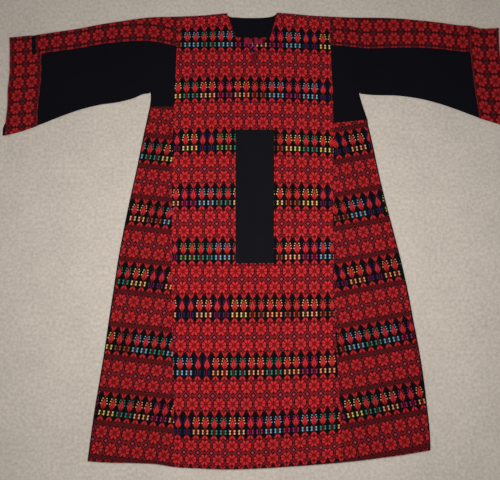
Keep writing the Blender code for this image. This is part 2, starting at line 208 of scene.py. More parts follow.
@dataclass(frozen=True)
class Curve:
    """A line through a few measured places, read at any other place."""

    places: np.ndarray
    values: np.ndarray
    slopes: np.ndarray

    @classmethod
    def of(cls, rows: Sequence[NamedTuple], key: str, name: str) -> "Curve":
        """Reads one column of a table against its key column.

        Args:
            rows: the table's rows.
            key: the column that holds the places.
            name: the column that holds the values.

        Returns:
            The smooth line through them.
        """
        rows = sorted(rows, key=lambda row: getattr(row, key))
        places = np.array([getattr(row, key) for row in rows], float)
        values = np.array([getattr(row, name) for row in rows], float)
        return cls(places, values, np.gradient(values, places))

    def at(self, where: Number) -> Number:
        """Reads the line along a smooth curve.

        Args:
            where: one place or many.

        Returns:
            The values there, held at the line's ends.
        """
        where = np.clip(where, self.places[0], self.places[-1])
        k = np.clip(np.searchsorted(self.places, where) - 1, 0, len(self.places) - 2)
        span = self.places[k + 1] - self.places[k]
        t = (where - self.places[k]) / span
        start = self.values[k] * (1 + 2 * t) * (1 - t) ** 2
        start += self.slopes[k] * span * t * (1 - t) ** 2
        end = self.values[k + 1] * t**2 * (3 - 2 * t)
        end += self.slopes[k + 1] * span * t**2 * (t - 1)
        return start + end

    def straight(self, where: Number) -> Number:
        """Reads the line along straight stretches."""
        return np.interp(where, self.places, self.values)


def ease(value: Number) -> Number:
    """Goes softly from 0 to 1."""
    value = np.clip(value, 0.0, 1.0)
    return value * value * (3 - 2 * value)


def graded(length: float, pitch: float, fine: Sequence[float] = ()) -> np.ndarray:
    """Parts a stretch into even steps, with finer ones at both ends.

    Args:
        length: the stretch's length.
        pitch: the even step.
        fine: distances from either end that also get a place.

    Returns:
        The places as shares of the length, from 0 to 1.
    """
    first = fine[-1] if fine else 0.0
    count = max(1, round((length - 2 * first) / pitch))
    middle = np.linspace(first, length - first, count + 1)
    places = [0.0, *fine[:-1], *middle, *[length - step for step in fine[:-1][::-1]], length]
    return np.unique(np.round(places, 4)) / length


@dataclass(frozen=True)
class Palette:
    """The colours of the threads, as the eye sees them, from 0 to 255.

    Attributes:
        accents: the bright threads beside the vases, the light half first.
    """

    ground: Colour = (11, 11, 15)
    outline: Colour = (62, 5, 10)
    madder: Colour = (138, 13, 20)
    scarlet: Colour = (203, 44, 49)
    rose: Colour = (164, 58, 66)
    centre: Colour = (186, 60, 80)
    accents: tuple[Colour, ...] = (
        (240, 158, 104),
        (228, 204, 112),
        (112, 176, 200),
        (108, 158, 82),
        (240, 176, 126),
        (32, 34, 92),
        (90, 28, 88),
        (56, 134, 112),
        (156, 74, 46),
        (160, 34, 98),
    )


def linear(colour: Sequence[float], bright: float = 1.0) -> tuple[float, float, float, float]:
    """Turns a colour as the eye sees it into the shader's own.

    Args:
        colour: red, green and blue from 0 to 255.
        bright: a factor on the light that it gives back.

    Returns:
        The colour for a shader, with full opacity.
    """
    parts = [part / 255 for part in colour]
    parts = [p / 12.92 if p <= 0.04045 else ((p + 0.055) / 1.055) ** 2.4 for p in parts]
    return (*[min(1.0, part * bright) for part in parts], 1.0)


class NodeSheet:
    """Lays out the nodes of one material."""

    def __init__(self, name: str) -> None:
        """Starts a material with its shader.

        Args:
            name: the material's name.
        """
        self.material = bpy.data.materials.new(name)
        self.material.use_nodes = True
        self.tree = self.material.node_tree
        self.shader = self.tree.nodes["Principled BSDF"]

    def node(self, kind: str, **settings: object) -> bpy.types.Node:
        """Adds a node.

        Args:
            kind: Blender's name for the kind of node.
            settings: the node's own settings.

        Returns:
            The new node.
        """
        made = self.tree.nodes.new(kind)
        for name, value in settings.items():
            setattr(made, name, value)
        return made

    def put(self, value: object, socket: Socket) -> None:
        """Links a socket to another one, or gives it a fixed value.

        Args:
            value: the other socket or the value.
            socket: the socket that gets it.
        """
        if isinstance(value, bpy.types.NodeSocket):
            self.tree.links.new(value, socket)
        else:
            socket.default_value = value

    def math(self, operation: str, *values: object) -> Socket:
        """Works out a number from others.

        Args:
            operation: the Math node's operation.
            values: up to three sockets or numbers.

        Returns:
            The result's socket.
        """
        made = self.node("ShaderNodeMath", operation=operation)
        for value, socket in zip(values, made.inputs):
            self.put(value, socket)
        return made.outputs[0]

    def total(self, first: object, *others: object) -> Socket:
        """Adds up numbers.

        Args:
            first: a socket or number.
            others: more of them.

        Returns:
            The sum's socket.
        """
        for other in others:
            first = self.math("ADD", first, other)
        return first

    def product(self, first: object, *others: object) -> Socket:
        """Multiplies numbers.

        Args:
            first: a socket or number.
            others: more of them.

        Returns:
            The product's socket.
        """
        for other in others:
            first = self.math("MULTIPLY", first, other)
        return first

    def vector(self, operation: str, *values: object) -> Socket:
        """Works out a vector, or for a dot product a number.

        Args:
            operation: the Vector Math node's operation.
            values: sockets or triples, and for SCALE the factor last.

        Returns:
            The result's socket.
        """
        made = self.node("ShaderNodeVectorMath", operation=operation)
        sockets = [made.inputs[0], made.inputs[1]]
        if operation == "SCALE":
            sockets[1] = made.inputs["Scale"]
        for value, socket in zip(values, sockets):
            self.put(value, socket)
        return made.outputs["Value" if operation == "DOT_PRODUCT" else "Vector"]

    def blend(self, share: object, first: object, second: object) -> Socket:
        """Goes from one colour or vector to another.

        Args:
            share: how much of the second.
            first: a socket or colour.
            second: a socket or colour.

        Returns:
            The mixed colour's socket.
        """
        made = self.node("ShaderNodeMix", data_type="RGBA")
        self.put(share, made.inputs[0])
        self.put(first, made.inputs[6])
        self.put(second, made.inputs[7])
        return made.outputs[2]

    def shaded(self, colour: object, bright: object) -> Socket:
        """Makes a colour brighter or darker by a factor."""
        return self.vector("SCALE", colour, bright)

    def steps(self, at: Socket, stops: Sequence[tuple[float, Sequence[float]]]) -> Socket:
        """Picks one of several colours by a number from 0 to 1.

        Args:
            at: the number's socket.
            stops: the places where each colour begins, and the colours.

        Returns:
            The picked colour's socket, with no blending.
        """
        made = self.node("ShaderNodeValToRGB")
        made.color_ramp.interpolation = "CONSTANT"
        elements = made.color_ramp.elements
        elements[0].position, elements[0].color = stops[0]
        elements.remove(elements[1])
        for place, colour in stops[1:]:
            elements.new(place).color = colour
        self.put(at, made.inputs[0])
        return made.outputs[0]

    def noise(self, place: Socket, scale: float, detail: float = 2.0) -> Socket:
        """Gives soft noise at a place.

        Args:
            place: the place's socket.
            scale: how fine the noise is, in spots to the metre.
            detail: how many finer layers it has.

        Returns:
            The noise's socket, from 0 to 1.
        """
        made = self.node("ShaderNodeTexNoise")
        self.put(place, made.inputs["Vector"])
        made.inputs["Scale"].default_value = scale
        made.inputs["Detail"].default_value = detail
        return made.outputs["Fac"]

    def object_place(self) -> Socket:
        """Gives the place on the garment, in metres."""
        return self.node("ShaderNodeTexCoord").outputs["Object"]

    def spot_noise(self, place: Socket) -> Socket:
        """Gives each whole place across and down its own number from 0 to 1.

        Args:
            place: the place's socket.

        Returns:
            The number's socket.
        """
        made = self.node("ShaderNodeTexWhiteNoise", noise_dimensions="2D")
        self.put(place, made.inputs["Vector"])
        return made.outputs["Value"]

    def paint(self, colour: object, bright: Socket) -> None:
        """Gives the surface its colour, brighter and darker from place to place."""
        self.put(self.shaded(colour, bright), self.shader.inputs["Base Color"])

    def gloss(self, roughness: object, specular: float) -> None:
        """Sets how the surface shines.

        Args:
            roughness: a socket or number, from 0, glossy, to 1, matt.
            specular: how strongly it gives back lights.
        """
        self.put(roughness, self.shader.inputs["Roughness"])
        self.shader.inputs["Specular IOR Level"].default_value = specular

    def sheen(self, weight: float, roughness: float) -> None:
        """Adds the soft shine of the fine hairs on cloth."""
        self.shader.inputs["Sheen Weight"].default_value = weight
        self.shader.inputs["Sheen Roughness"].default_value = roughness

    def relief(self, height: Socket, depth: float, strength: float) -> None:
        """Gives the surface a fine relief.

        Args:
            height: a height from 0 to 1.
            depth: what 1 stands for, in metres.
            strength: how much of it shows.
        """
        bump = self.node("ShaderNodeBump")
        bump.inputs["Distance"].default_value = depth
        bump.inputs["Strength"].default_value = strength
        self.put(height, bump.inputs["Height"])
        self.put(bump.outputs[0], self.shader.inputs["Normal"])


@dataclass(frozen=True)
class Chart:
    """A motif on squared paper, half of it, from its middle to its edge.

    Attributes:
        rows: a count and its crosses, for rows that follow each other and are alike.
        letters: one for each thread: k the bare ground, d outline, m madder, r scarlet,
            p rose, a the vases' bright thread and c the centre of a diamond.
        most_stops: how many rows one colour ramp can hold.
    """

    rows: tuple[tuple[int, str], ...]
    letters: str = "kdmrpac"
    most_stops: int = 32

    @property
    def height(self) -> int:
        """Rows of crosses."""
        return sum(count for count, _ in self.rows)

    def stops(self) -> list[tuple[float, tuple[float, float, float, float]]]:
        """Writes each row as three binary numbers, whose digits give its crosses' threads.

        Returns:
            Where each new row begins, from 0 to 1, and its three numbers as a colour, each
            with half a digit more, so that rounding can't lose its last one.
        """
        found, begins = [], 0
        for count, crosses in self.rows:
            threads = [self.letters.index(letter) for letter in crosses]
            spare = 0.5 / 2 ** len(crosses)
            numbers = []
            for digit in range(3):
                bits = [(thread >> digit) & 1 for thread in threads]
                numbers.append(spare + sum(bit / 2 ** (k + 1) for k, bit in enumerate(bits)))
            found.append((begins / self.height, (*numbers, 1.0)))
            begins += count
        return found

    def read(self, sheet: NodeSheet, row: Socket) -> Socket:
        """Reads one row of the chart, from one ramp or, where that is full, two.

        Args:
            sheet: the material's nodes.
            row: the row's whole number.

        Returns:
            The row's three numbers.
        """
        share = sheet.math("DIVIDE", sheet.math("ADD", row, 0.5), self.height)
        stops = self.stops()
        upper = sheet.steps(share, stops[: self.most_stops])
        if len(stops) <= self.most_stops:
            return upper
        rest = stops[self.most_stops :]
        lower = sheet.steps(share, [(0.0, rest[0][1]), *rest[1:]])
        return sheet.blend(sheet.math("GREATER_THAN", share, rest[0][0]), upper, lower)


ROSETTE = Chart(
    (
        (1, "mmmddddddddkk"),
        (1, "mmmmrrrrrrdkm"),
        (1, "mmdmrrrrrrdkm"),
        (1, "dmmdmrrrrrdkp"),
        (1, "drrmdmrrrrdkm"),
        (1, "drrrmdmrrdkmp"),
        (1, "drrrrmdddkmmk"),
        (1, "drrrrrmdmkmkp"),
        (1, "drrrrrdmkdmpk"),
        (1, "ddrrrrdmdmpkk"),
        (1, "kddrrddmmpkkk"),
        (1, "kkdddkdmpkkkm"),
        (1, "mmkmpdmpkkkmc"),
        (1, "dmmdmmpkkkmcc"),
        (1, "mpdmmpkkkmccc"),
        (1, "dkmkdkmkdkmkd"),
        (1, "kpkdkpkdkpkdk"),
        (1, "mkdmkmdkmkdmk"),
        (1, "kdkpkdkpkdkpk"),
        (1, "mkmkdkmkmkdkm"),
        (1, "kpkdkpkdkpkdk"),
        (1, "dkmkdkmkdkmkd"),
    )
)
VASE = Chart(
    (
        (1, "mdmmrmddk"),
        (1, "mmdrrmdkk"),
        (1, "dmrrmddkk"),
        (1, "drrrddkkk"),
        (1, "drrrdkkkk"),
        (1, "mrrddkkkk"),
        (1, "mmrdkkkkk"),
        (2, "pmdkkkkkk"),
        (2, "mdkkkkkkk"),
        (2, "mdkaakkkk"),
        (1, "rmdkkkkkk"),
        (1, "rrdkkkkkk"),
        (2, "rrddaakkk"),
        (1, "rrrdkkkkk"),
        (2, "mrrrdkkkk"),
        (2, "mrrrdaakk"),
        (3, "mrrrrdkkk"),
        (1, "mmrrrdkkk"),
        (1, "mmrrdkkkk"),
        (1, "mmrddkkkk"),
        (1, "mmrdkkkkk"),
        (1, "mmdkkkkkk"),
        (1, "mdkkkkkkk"),
        (2, "mdkkkkkkk"),
        (3, "mkkaaakkk"),
        (2, "mkkkakkkk"),
        (3, "mkkaaakkk"),
        (1, "mkkkkkkkk"),
        (1, "mddkkkkkk"),
        (1, "mmddkkkkk"),
        (1, "drrddkkkk"),
        (1, "drrrdkkkk"),
        (1, "drrrrdkkk"),
        (1, "dmrrrdkkk"),
        (1, "ddrrrrdkk"),
        (1, "ddmmrmddk"),
        (1, "mmdmmddmk"),
    )
)
STRIP_ROSETTE = Chart(
    (
        (1, "mmmddddddddkkm"),
        (1, "mmmmrrrrrrdkmk"),
        (1, "mmdmrrrrrrrdkm"),
        (1, "dmmdmrrrrrrdmk"),
        (1, "drrmdmrrrrrdkd"),
        (1, "drrrmdmrrrdmkp"),
        (1, "drrrrmdmdddkmk"),
        (1, "drrrrrmdmkmmkp"),
        (1, "drrrrrdmkmkmpk"),
        (1, "drrrrrdkmkkkpk"),
        (1, "ddrrrdkmkkkpkk"),
        (1, "kkdddkmkkkpkkk"),
        (1, "mkmkmkkkkpkkkp"),
    )
)


@dataclass(frozen=True)
class CrossStitch:
    """Cross stitch in many threads on black cotton, worked from the charts.

    The map of stitches counts crosses, across from a rosette's middle and down from the
    upper rosette of a pair.

    Attributes:
        bright: a factor on all the threads' light.
        pair_rows: rows that a pair of rosettes takes up.
        pair_start: rows of it above the upper rosette's middle.
        pair_half: rows from a rosette's middle to the gap between the two of a pair.
        border_rows: rows of the narrow border on each side of a gore's vases.
        shadow: how bright the thread is in the painted shade between the legs of a cross.
        ridge_highlight: how much brighter the painted highlight on top of them makes it.
        dye: how much the crosses differ in brightness.
        thread_roughness: how much less matt the thread is than the bare ground.
    """

    name: str
    repeat: Repeat
    palette: Palette = Palette()
    bright: float = 1.0
    pair_rows: int = 51
    pair_start: int = 11
    rosette_half: int = 12
    pair_half: int = 14
    border_rows: int = 7
    vase_half: int = 8
    strip_half: tuple[int, int] = (13, 12)
    shadow: float = 0.66
    ridge_highlight: float = 0.34
    dye: float = 0.16
    fade: float = 0.24
    fade_scale: float = 9.0
    weave: float = 0.2
    weave_scale: float = 1400.0
    relief_depth: float = 0.0007
    relief_strength: float = 0.5
    leg_slope: float = -1.5
    lower_leg: float = 0.8
    bare_roughness: float = 0.88
    thread_roughness: float = -0.22
    specular: float = 0.07
    sheen: float = 0.02
    sheen_roughness: float = 0.45

    @property
    def period(self) -> int:
        """Rows from one pair of rosettes to the next."""
        borders = 2 * self.border_rows if self.repeat is Repeat.GORE else 0
        return self.pair_rows + VASE.height + borders

    def thread_at(self, sheet: NodeSheet, across: Socket, down: Socket) -> Socket:
        """Finds each cross's thread in the charts.

        Args:
            sheet: the material's nodes.
            across: the cross's whole number across.
            down: the cross's whole number down.

        Returns:
            The thread's number, in the order of the charts' letters.
        """
        if self.repeat is Repeat.STRIP:
            column = sheet.math("PINGPONG", across, self.strip_half[0])
            row = sheet.math("PINGPONG", down, self.strip_half[1])
            numbers = STRIP_ROSETTE.read(sheet, row)
        else:
            start = sheet.math("ADD", down, self.pair_start)
            start = sheet.math("FLOORED_MODULO", start, self.period)
            row = sheet.math("SUBTRACT", start, self.pair_start)
            row = sheet.math("PINGPONG", row, self.pair_half)
            vase_row = sheet.math("SUBTRACT", start, self.pair_rows)
            if self.repeat is Repeat.GORE:
                row = self.with_borders(sheet, start, row)
                vase_row = sheet.math("SUBTRACT", vase_row, self.border_rows)
            in_vase = sheet.math("GREATER_THAN", vase_row, -0.5)
            if self.repeat is Repeat.GORE:
                before_end = sheet.math("LESS_THAN", vase_row, VASE.height - 0.5)
                in_vase = sheet.product(in_vase, before_end)
            vases = VASE.read(sheet, vase_row)
            numbers = sheet.blend(in_vase, ROSETTE.read(sheet, row), vases)
            rosette_column = sheet.math("PINGPONG", across, self.rosette_half)
            vase_column = sheet.math("PINGPONG", across, self.vase_half)
            vase_column = sheet.math("SUBTRACT", self.vase_half, vase_column)
            step = sheet.math("SUBTRACT", vase_column, rosette_column)
            column = sheet.math("MULTIPLY_ADD", step, in_vase, rosette_column)
        shift = sheet.math("POWER", 2.0, sheet.math("ADD", column, 1.0))
        digits = sheet.vector("FLOOR", sheet.vector("SCALE", numbers, shift))
        digits = sheet.vector("MODULO", digits, (2.0, 2.0, 2.0))
        return sheet.vector("DOT_PRODUCT", digits, (1.0, 2.0, 4.0))

    def with_borders(self, sheet: NodeSheet, start: Socket, row: Socket) -> Socket:
        """Adds the zigzag borders above and below the vases.

        Args:
            sheet: the material's nodes.
            start: the row from the start of the repeat.
            row: the row of the rosettes' chart without the borders.

        Returns:
            The row of the rosettes' chart, which has the border after the rosette.
        """
        above = sheet.math("SUBTRACT", start, self.pair_rows)
        below = sheet.math("SUBTRACT", self.period - 1, start)
        into = sheet.math("MINIMUM", above, below)
        inside = sheet.math("GREATER_THAN", into, -0.5)
        inside = sheet.product(inside, sheet.math("LESS_THAN", into, self.border_rows - 0.5))
        inside = sheet.product(inside, sheet.math("GREATER_THAN", above, -0.5))
        border_row = sheet.math("ADD", into, self.pair_half + 1)
        step = sheet.math("SUBTRACT", border_row, row)
        return sheet.math("MULTIPLY_ADD", step, inside, row)

    def accent_at(self, sheet: NodeSheet, across: Socket, down: Socket) -> Socket:
        """Picks the bright thread of each pair of vases, by turns a light and a dark one.

        Args:
            sheet: the material's nodes.
            across: the cross's whole number across.
            down: the cross's whole number down.

        Returns:
            The thread's colour.
        """
        count = len(self.palette.accents)
        pair = sheet.math("FLOOR", sheet.math("DIVIDE", across, 4.0 * self.vase_half))
        band = sheet.math("ADD", down, self.pair_start)
        band = sheet.math("FLOOR", sheet.math("DIVIDE", band, self.period))
        spot = sheet.node("ShaderNodeCombineXYZ")
        sheet.put(pair, spot.inputs[0])
        sheet.put(band, spot.inputs[1])
        drawn = sheet.spot_noise(spot.outputs[0])
        dark = sheet.math("FLOORED_MODULO", sheet.math("ADD", pair, band), 2.0)
        share = sheet.math("MULTIPLY_ADD", drawn, 0.499, sheet.product(dark, 0.5))
        colours = [linear(colour, self.bright) for colour in self.palette.accents]
        return sheet.steps(share, [(k / count, colour) for k, colour in enumerate(colours)])

    def cross_height(self, sheet: NodeSheet, spot: Socket) -> Socket:
        """Gives the height of the two crossed legs of a stitch.

        Args:
            sheet: the material's nodes.
            spot: the place inside the cross, from 0 to 1 each way.

        Returns:
            The height, from 0 between the legs to 1 on the upper one.
        """
        upper = sheet.math("ABSOLUTE", sheet.vector("DOT_PRODUCT", spot, (1.0, -1.0, 0.0)))
        lower = sheet.vector("DOT_PRODUCT", spot, (1.0, 1.0, 0.0))
        lower = sheet.math("ABSOLUTE", sheet.math("SUBTRACT", lower, 1.0))
        upper = sheet.math("MULTIPLY_ADD", upper, self.leg_slope, 1.0)
        lower = sheet.math("MULTIPLY_ADD", lower, self.leg_slope, self.lower_leg)
        return sheet.math("MAXIMUM", sheet.math("MAXIMUM", upper, lower), 0.0)

    def make(self) -> bpy.types.Material:
        """Makes the material.

        Returns:
            The finish, with its threads, their relief, painted shade and highlight, and wear.
        """
        sheet = NodeSheet(self.name)
        colours = self.palette
        spot = sheet.node("ShaderNodeUVMap", uv_map=STITCH_MAP).outputs[0]
        whole = sheet.vector("FLOOR", spot)
        parts = sheet.node("ShaderNodeSeparateXYZ")
        sheet.put(whole, parts.inputs[0])
        across, down = parts.outputs[0], parts.outputs[1]
        thread = self.thread_at(sheet, across, down)
        names = (colours.ground, colours.outline, colours.madder, colours.scarlet)
        names += (colours.rose, colours.rose, colours.centre)
        stops = [(k / 8, linear(colour, self.bright)) for k, colour in enumerate(names)]
        share = sheet.math("DIVIDE", sheet.math("ADD", thread, 0.5), 8.0)
        colour = sheet.steps(share, stops)
        if self.repeat is not Repeat.STRIP:
            accent = sheet.math("COMPARE", thread, 5.0, 0.5)
            colour = sheet.blend(accent, colour, self.accent_at(sheet, across, down))
        worked = sheet.math("GREATER_THAN", thread, 0.5)

        height = self.cross_height(sheet, sheet.vector("FRACTION", spot))
        place = sheet.object_place()
        # painted shade between the legs of each cross and painted highlight on top of them, from
        # the same height as the relief; the dye and fade noise are the threads' own uneven colour
        bright = sheet.total(
            self.shadow,
            sheet.product(height, self.ridge_highlight),
            sheet.product(sheet.spot_noise(whole), self.dye),
            sheet.product(sheet.noise(place, self.fade_scale, 3.0), self.fade),
        )
        sheet.paint(colour, bright)
        weave = sheet.noise(place, self.weave_scale, 0.0)
        relief = sheet.total(sheet.product(height, worked), sheet.product(weave, self.weave))
        sheet.relief(relief, self.relief_depth, self.relief_strength)
        roughness = sheet.math(
            "MULTIPLY_ADD", worked, self.thread_roughness, self.bare_roughness
        )
        sheet.gloss(roughness, self.specular)
        sheet.sheen(self.sheen, self.sheen_roughness)
        return sheet.material


@dataclass(frozen=True)
class Cotton:
    """Plain woven black cotton, matt, with a little lint.

    Attributes:
        threads: how fine the weave is, as its waves' angle to the metre.
        shadow: how bright the cloth is in the painted shade between its threads.
        ridge_highlight: how much brighter the painted highlight on top of them makes it.
        worn_roughness: how much more matt it is where worn.
    """

    name: str = "black_cotton"
    colour: Colour = (14, 13, 20)
    threads: float = 2400.0
    shadow: float = 0.70
    ridge_highlight: float = 0.2
    wear: float = 0.4
    wear_scale: float = 7.0
    lint: float = 0.7
    lint_scale: float = 520.0
    lint_from: float = 0.76
    relief_depth: float = 0.0003
    relief_strength: float = 0.35
    roughness: float = 0.82
    worn_roughness: float = 0.1
    specular: float = 0.05
    sheen: float = 0.01
    sheen_roughness: float = 0.5

    def make(self) -> bpy.types.Material:
        """Makes the material.

        Returns:
            The finish, with its weave, its painted shade and highlight, its lint and where it is
            worn.
        """
        sheet = NodeSheet(self.name)
        place = sheet.object_place()
        turned = sheet.vector("MULTIPLY", place, (self.threads, self.threads, 0.0))
        parts = sheet.node("ShaderNodeSeparateXYZ")
        sheet.put(turned, parts.inputs[0])
        warp = sheet.math("SINE", parts.outputs[0])
        weft = sheet.math("SINE", parts.outputs[1])
        weave = sheet.math("MULTIPLY_ADD", sheet.product(warp, weft), 0.5, 0.5)
        lint = sheet.noise(place, self.lint_scale, 1.0)
        lint = sheet.math("GREATER_THAN", lint, self.lint_from)
        worn = sheet.noise(place, self.wear_scale, 3.0)
        # painted shade between the weave's threads and painted highlight on top of them; wear and
        # lint are the cloth's own
        bright = sheet.total(
            self.shadow,
            sheet.product(weave, self.ridge_highlight),
            sheet.product(worn, self.wear),
            sheet.product(lint, self.lint),
        )
        sheet.paint(linear(self.colour)[:3], bright)
        sheet.relief(weave, self.relief_depth, self.relief_strength)
        roughness = sheet.math("MULTIPLY_ADD", worn, self.worn_roughness, self.roughness)
        sheet.gloss(roughness, self.specular)
        sheet.sheen(self.sheen, self.sheen_roughness)
        return sheet.material


@dataclass(frozen=True)
class Floss:
    """Stitching thread of one colour, twisted from fine strands."""

    name: str
    colour: Colour
    # the two numbers below set the painted shade between the strands and the painted highlight on
    # them
    shadow: float = 0.55
    ridge_highlight: float = 0.5
    strand_scale: float = 2600.0
    dye: float = 0.4
    dye_scale: float = 60.0
    relief_depth: float = 0.0002
    relief_strength: float = 0.5
    roughness: float = 0.68
    specular: float = 0.1
    sheen: float = 0.02
    sheen_roughness: float = 0.5

    def make(self) -> bpy.types.Material:
        """Makes the material.

        Returns:
            The finish, with its strands, their painted shade and highlight, and uneven dye.
        """
        sheet = NodeSheet(self.name)
        place = sheet.object_place()
        strands = sheet.noise(place, self.strand_scale, 1.0)
        dye = sheet.noise(place, self.dye_scale, 2.0)
        # painted highlight on the strands over painted shade between them; the dye noise is the
        # thread's own uneven colour
        strand_light = sheet.product(strands, self.ridge_highlight)
        bright = sheet.total(self.shadow, strand_light, sheet.product(dye, self.dye))
        sheet.paint(linear(self.colour)[:3], bright)
        sheet.relief(strands, self.relief_depth, self.relief_strength)
        sheet.gloss(self.roughness, self.specular)
        sheet.sheen(self.sheen, self.sheen_roughness)
        return sheet.material


@dataclass(frozen=True)
class PaleFloor:
    """The plain pale floor that the dress lies on."""

    name: str = "pale_floor"
    colour: Colour = (206, 197, 187)
    shadow: float = 0.61
    patches: float = 0.20
    patch_scale: float = 9.0
    grain: float = 0.58
    grain_scale: float = 105.0
    roughness: float = 0.95
    specular: float = 0.1

    def make(self) -> bpy.types.Material:
        """Makes the material.

        Returns:
            The finish, matt and almost even.
        """
        sheet = NodeSheet(self.name)
        place = sheet.object_place()
        bright = sheet.total(
            self.shadow,
            sheet.product(sheet.noise(place, self.patch_scale, 3.0), self.patches),
            sheet.product(sheet.noise(place, self.grain_scale, 2.0), self.grain),
        )
        sheet.paint(linear(self.colour)[:3], bright)
        sheet.gloss(self.roughness, self.specular)
        return sheet.material


@dataclass
class Wall:
    """A wall of cloth between two grids of points, in millimetres.

    Attributes:
        outer: the grid on the side that is seen from outside.
        inner: the grid on the inside.
        cells: which cells of the grid the cloth fills. With as many rows as the grid,
            the rows close into a ring.
        stitches: the crosses counted at each point, across and down.
        selvedge: how many of the last columns of cells are left unworked.
        sharp_from: the angle between two faces from which their edge is sharp.
    """

    name: str
    outer: np.ndarray
    inner: np.ndarray
    cells: np.ndarray
    stitches: np.ndarray
    selvedge: int = 0
    sharp_from: float = 55.0

    def quads(self) -> np.ndarray:
        """Lists the outer face's cells.

        Returns:
            The four corners of each, so that its face turns outwards.
        """
        rows, columns = self.outer.shape[:2]
        row, column = np.nonzero(self.cells)
        after = (row + 1) % rows
        corners = ((row, column), (row, column + 1), (after, column + 1), (after, column))
        found = np.stack([r * columns + c for r, c in corners], axis=1)
        points = self.outer.reshape(-1, 3)
        side_a = points[found[:, 1]] - points[found[:, 0]]
        side_b = points[found[:, 3]] - points[found[:, 0]]
        outward = (self.outer - self.inner).reshape(-1, 3)[found[:, 0]]
        turns_out = (np.cross(side_a, side_b) * outward).sum() > 0
        return found if turns_out else found[:, ::-1]

    def build(
        self, outside: bpy.types.Material, inside: bpy.types.Material
    ) -> bpy.types.Object:
        """Makes the mesh.

        Args:
            outside: the finish of the outer face and the edges.
            inside: the finish of the inner face.

        Returns:
            The new piece, in the scene.
        """
        count = self.outer.shape[0] * self.outer.shape[1]
        outer = self.quads()
        edges = np.concatenate([outer[:, [k, (k + 1) % 4]] for k in range(4)])
        forward = edges[:, 0].astype(np.int64) * count + edges[:, 1]
        backward = edges[:, 1].astype(np.int64) * count + edges[:, 0]
        free = edges[~np.isin(forward, backward)]
        rim = np.stack([free[:, 1], free[:, 0], free[:, 0] + count, free[:, 1] + count], axis=1)
        faces = np.concatenate([outer, outer[:, ::-1] + count, rim])
        points = np.concatenate([self.outer.reshape(-1, 3), self.inner.reshape(-1, 3)]) * MM
        points[:, 2] = np.maximum(points[:, 2], 0.0)
        used, corners = np.unique(faces, return_inverse=True)
        mesh = bpy.data.meshes.new(self.name)
        mesh.from_pydata(points[used], [], corners.reshape(-1, 4))
        layer = mesh.uv_layers.new(name=STITCH_MAP)
        counted = self.stitches.reshape(-1, 2)[faces.ravel() % count]
        layer.data.foreach_set("uv", counted.astype(np.float32).ravel())
        mesh.materials.append(outside)
        mesh.materials.append(inside)
        kinds = np.zeros(len(faces), np.int32)
        column = np.nonzero(self.cells)[1]
        kinds[: len(outer)] = column >= self.cells.shape[1] - self.selvedge
        kinds[len(outer) : 2 * len(outer)] = 1
        mesh.polygons.foreach_set("material_index", kinds)
        mesh.shade_smooth()
        mesh.set_sharp_from_angle(angle=math.radians(self.sharp_from))
        piece = bpy.data.objects.new(self.name, mesh)
        bpy.context.scene.collection.objects.link(piece)
        return piece


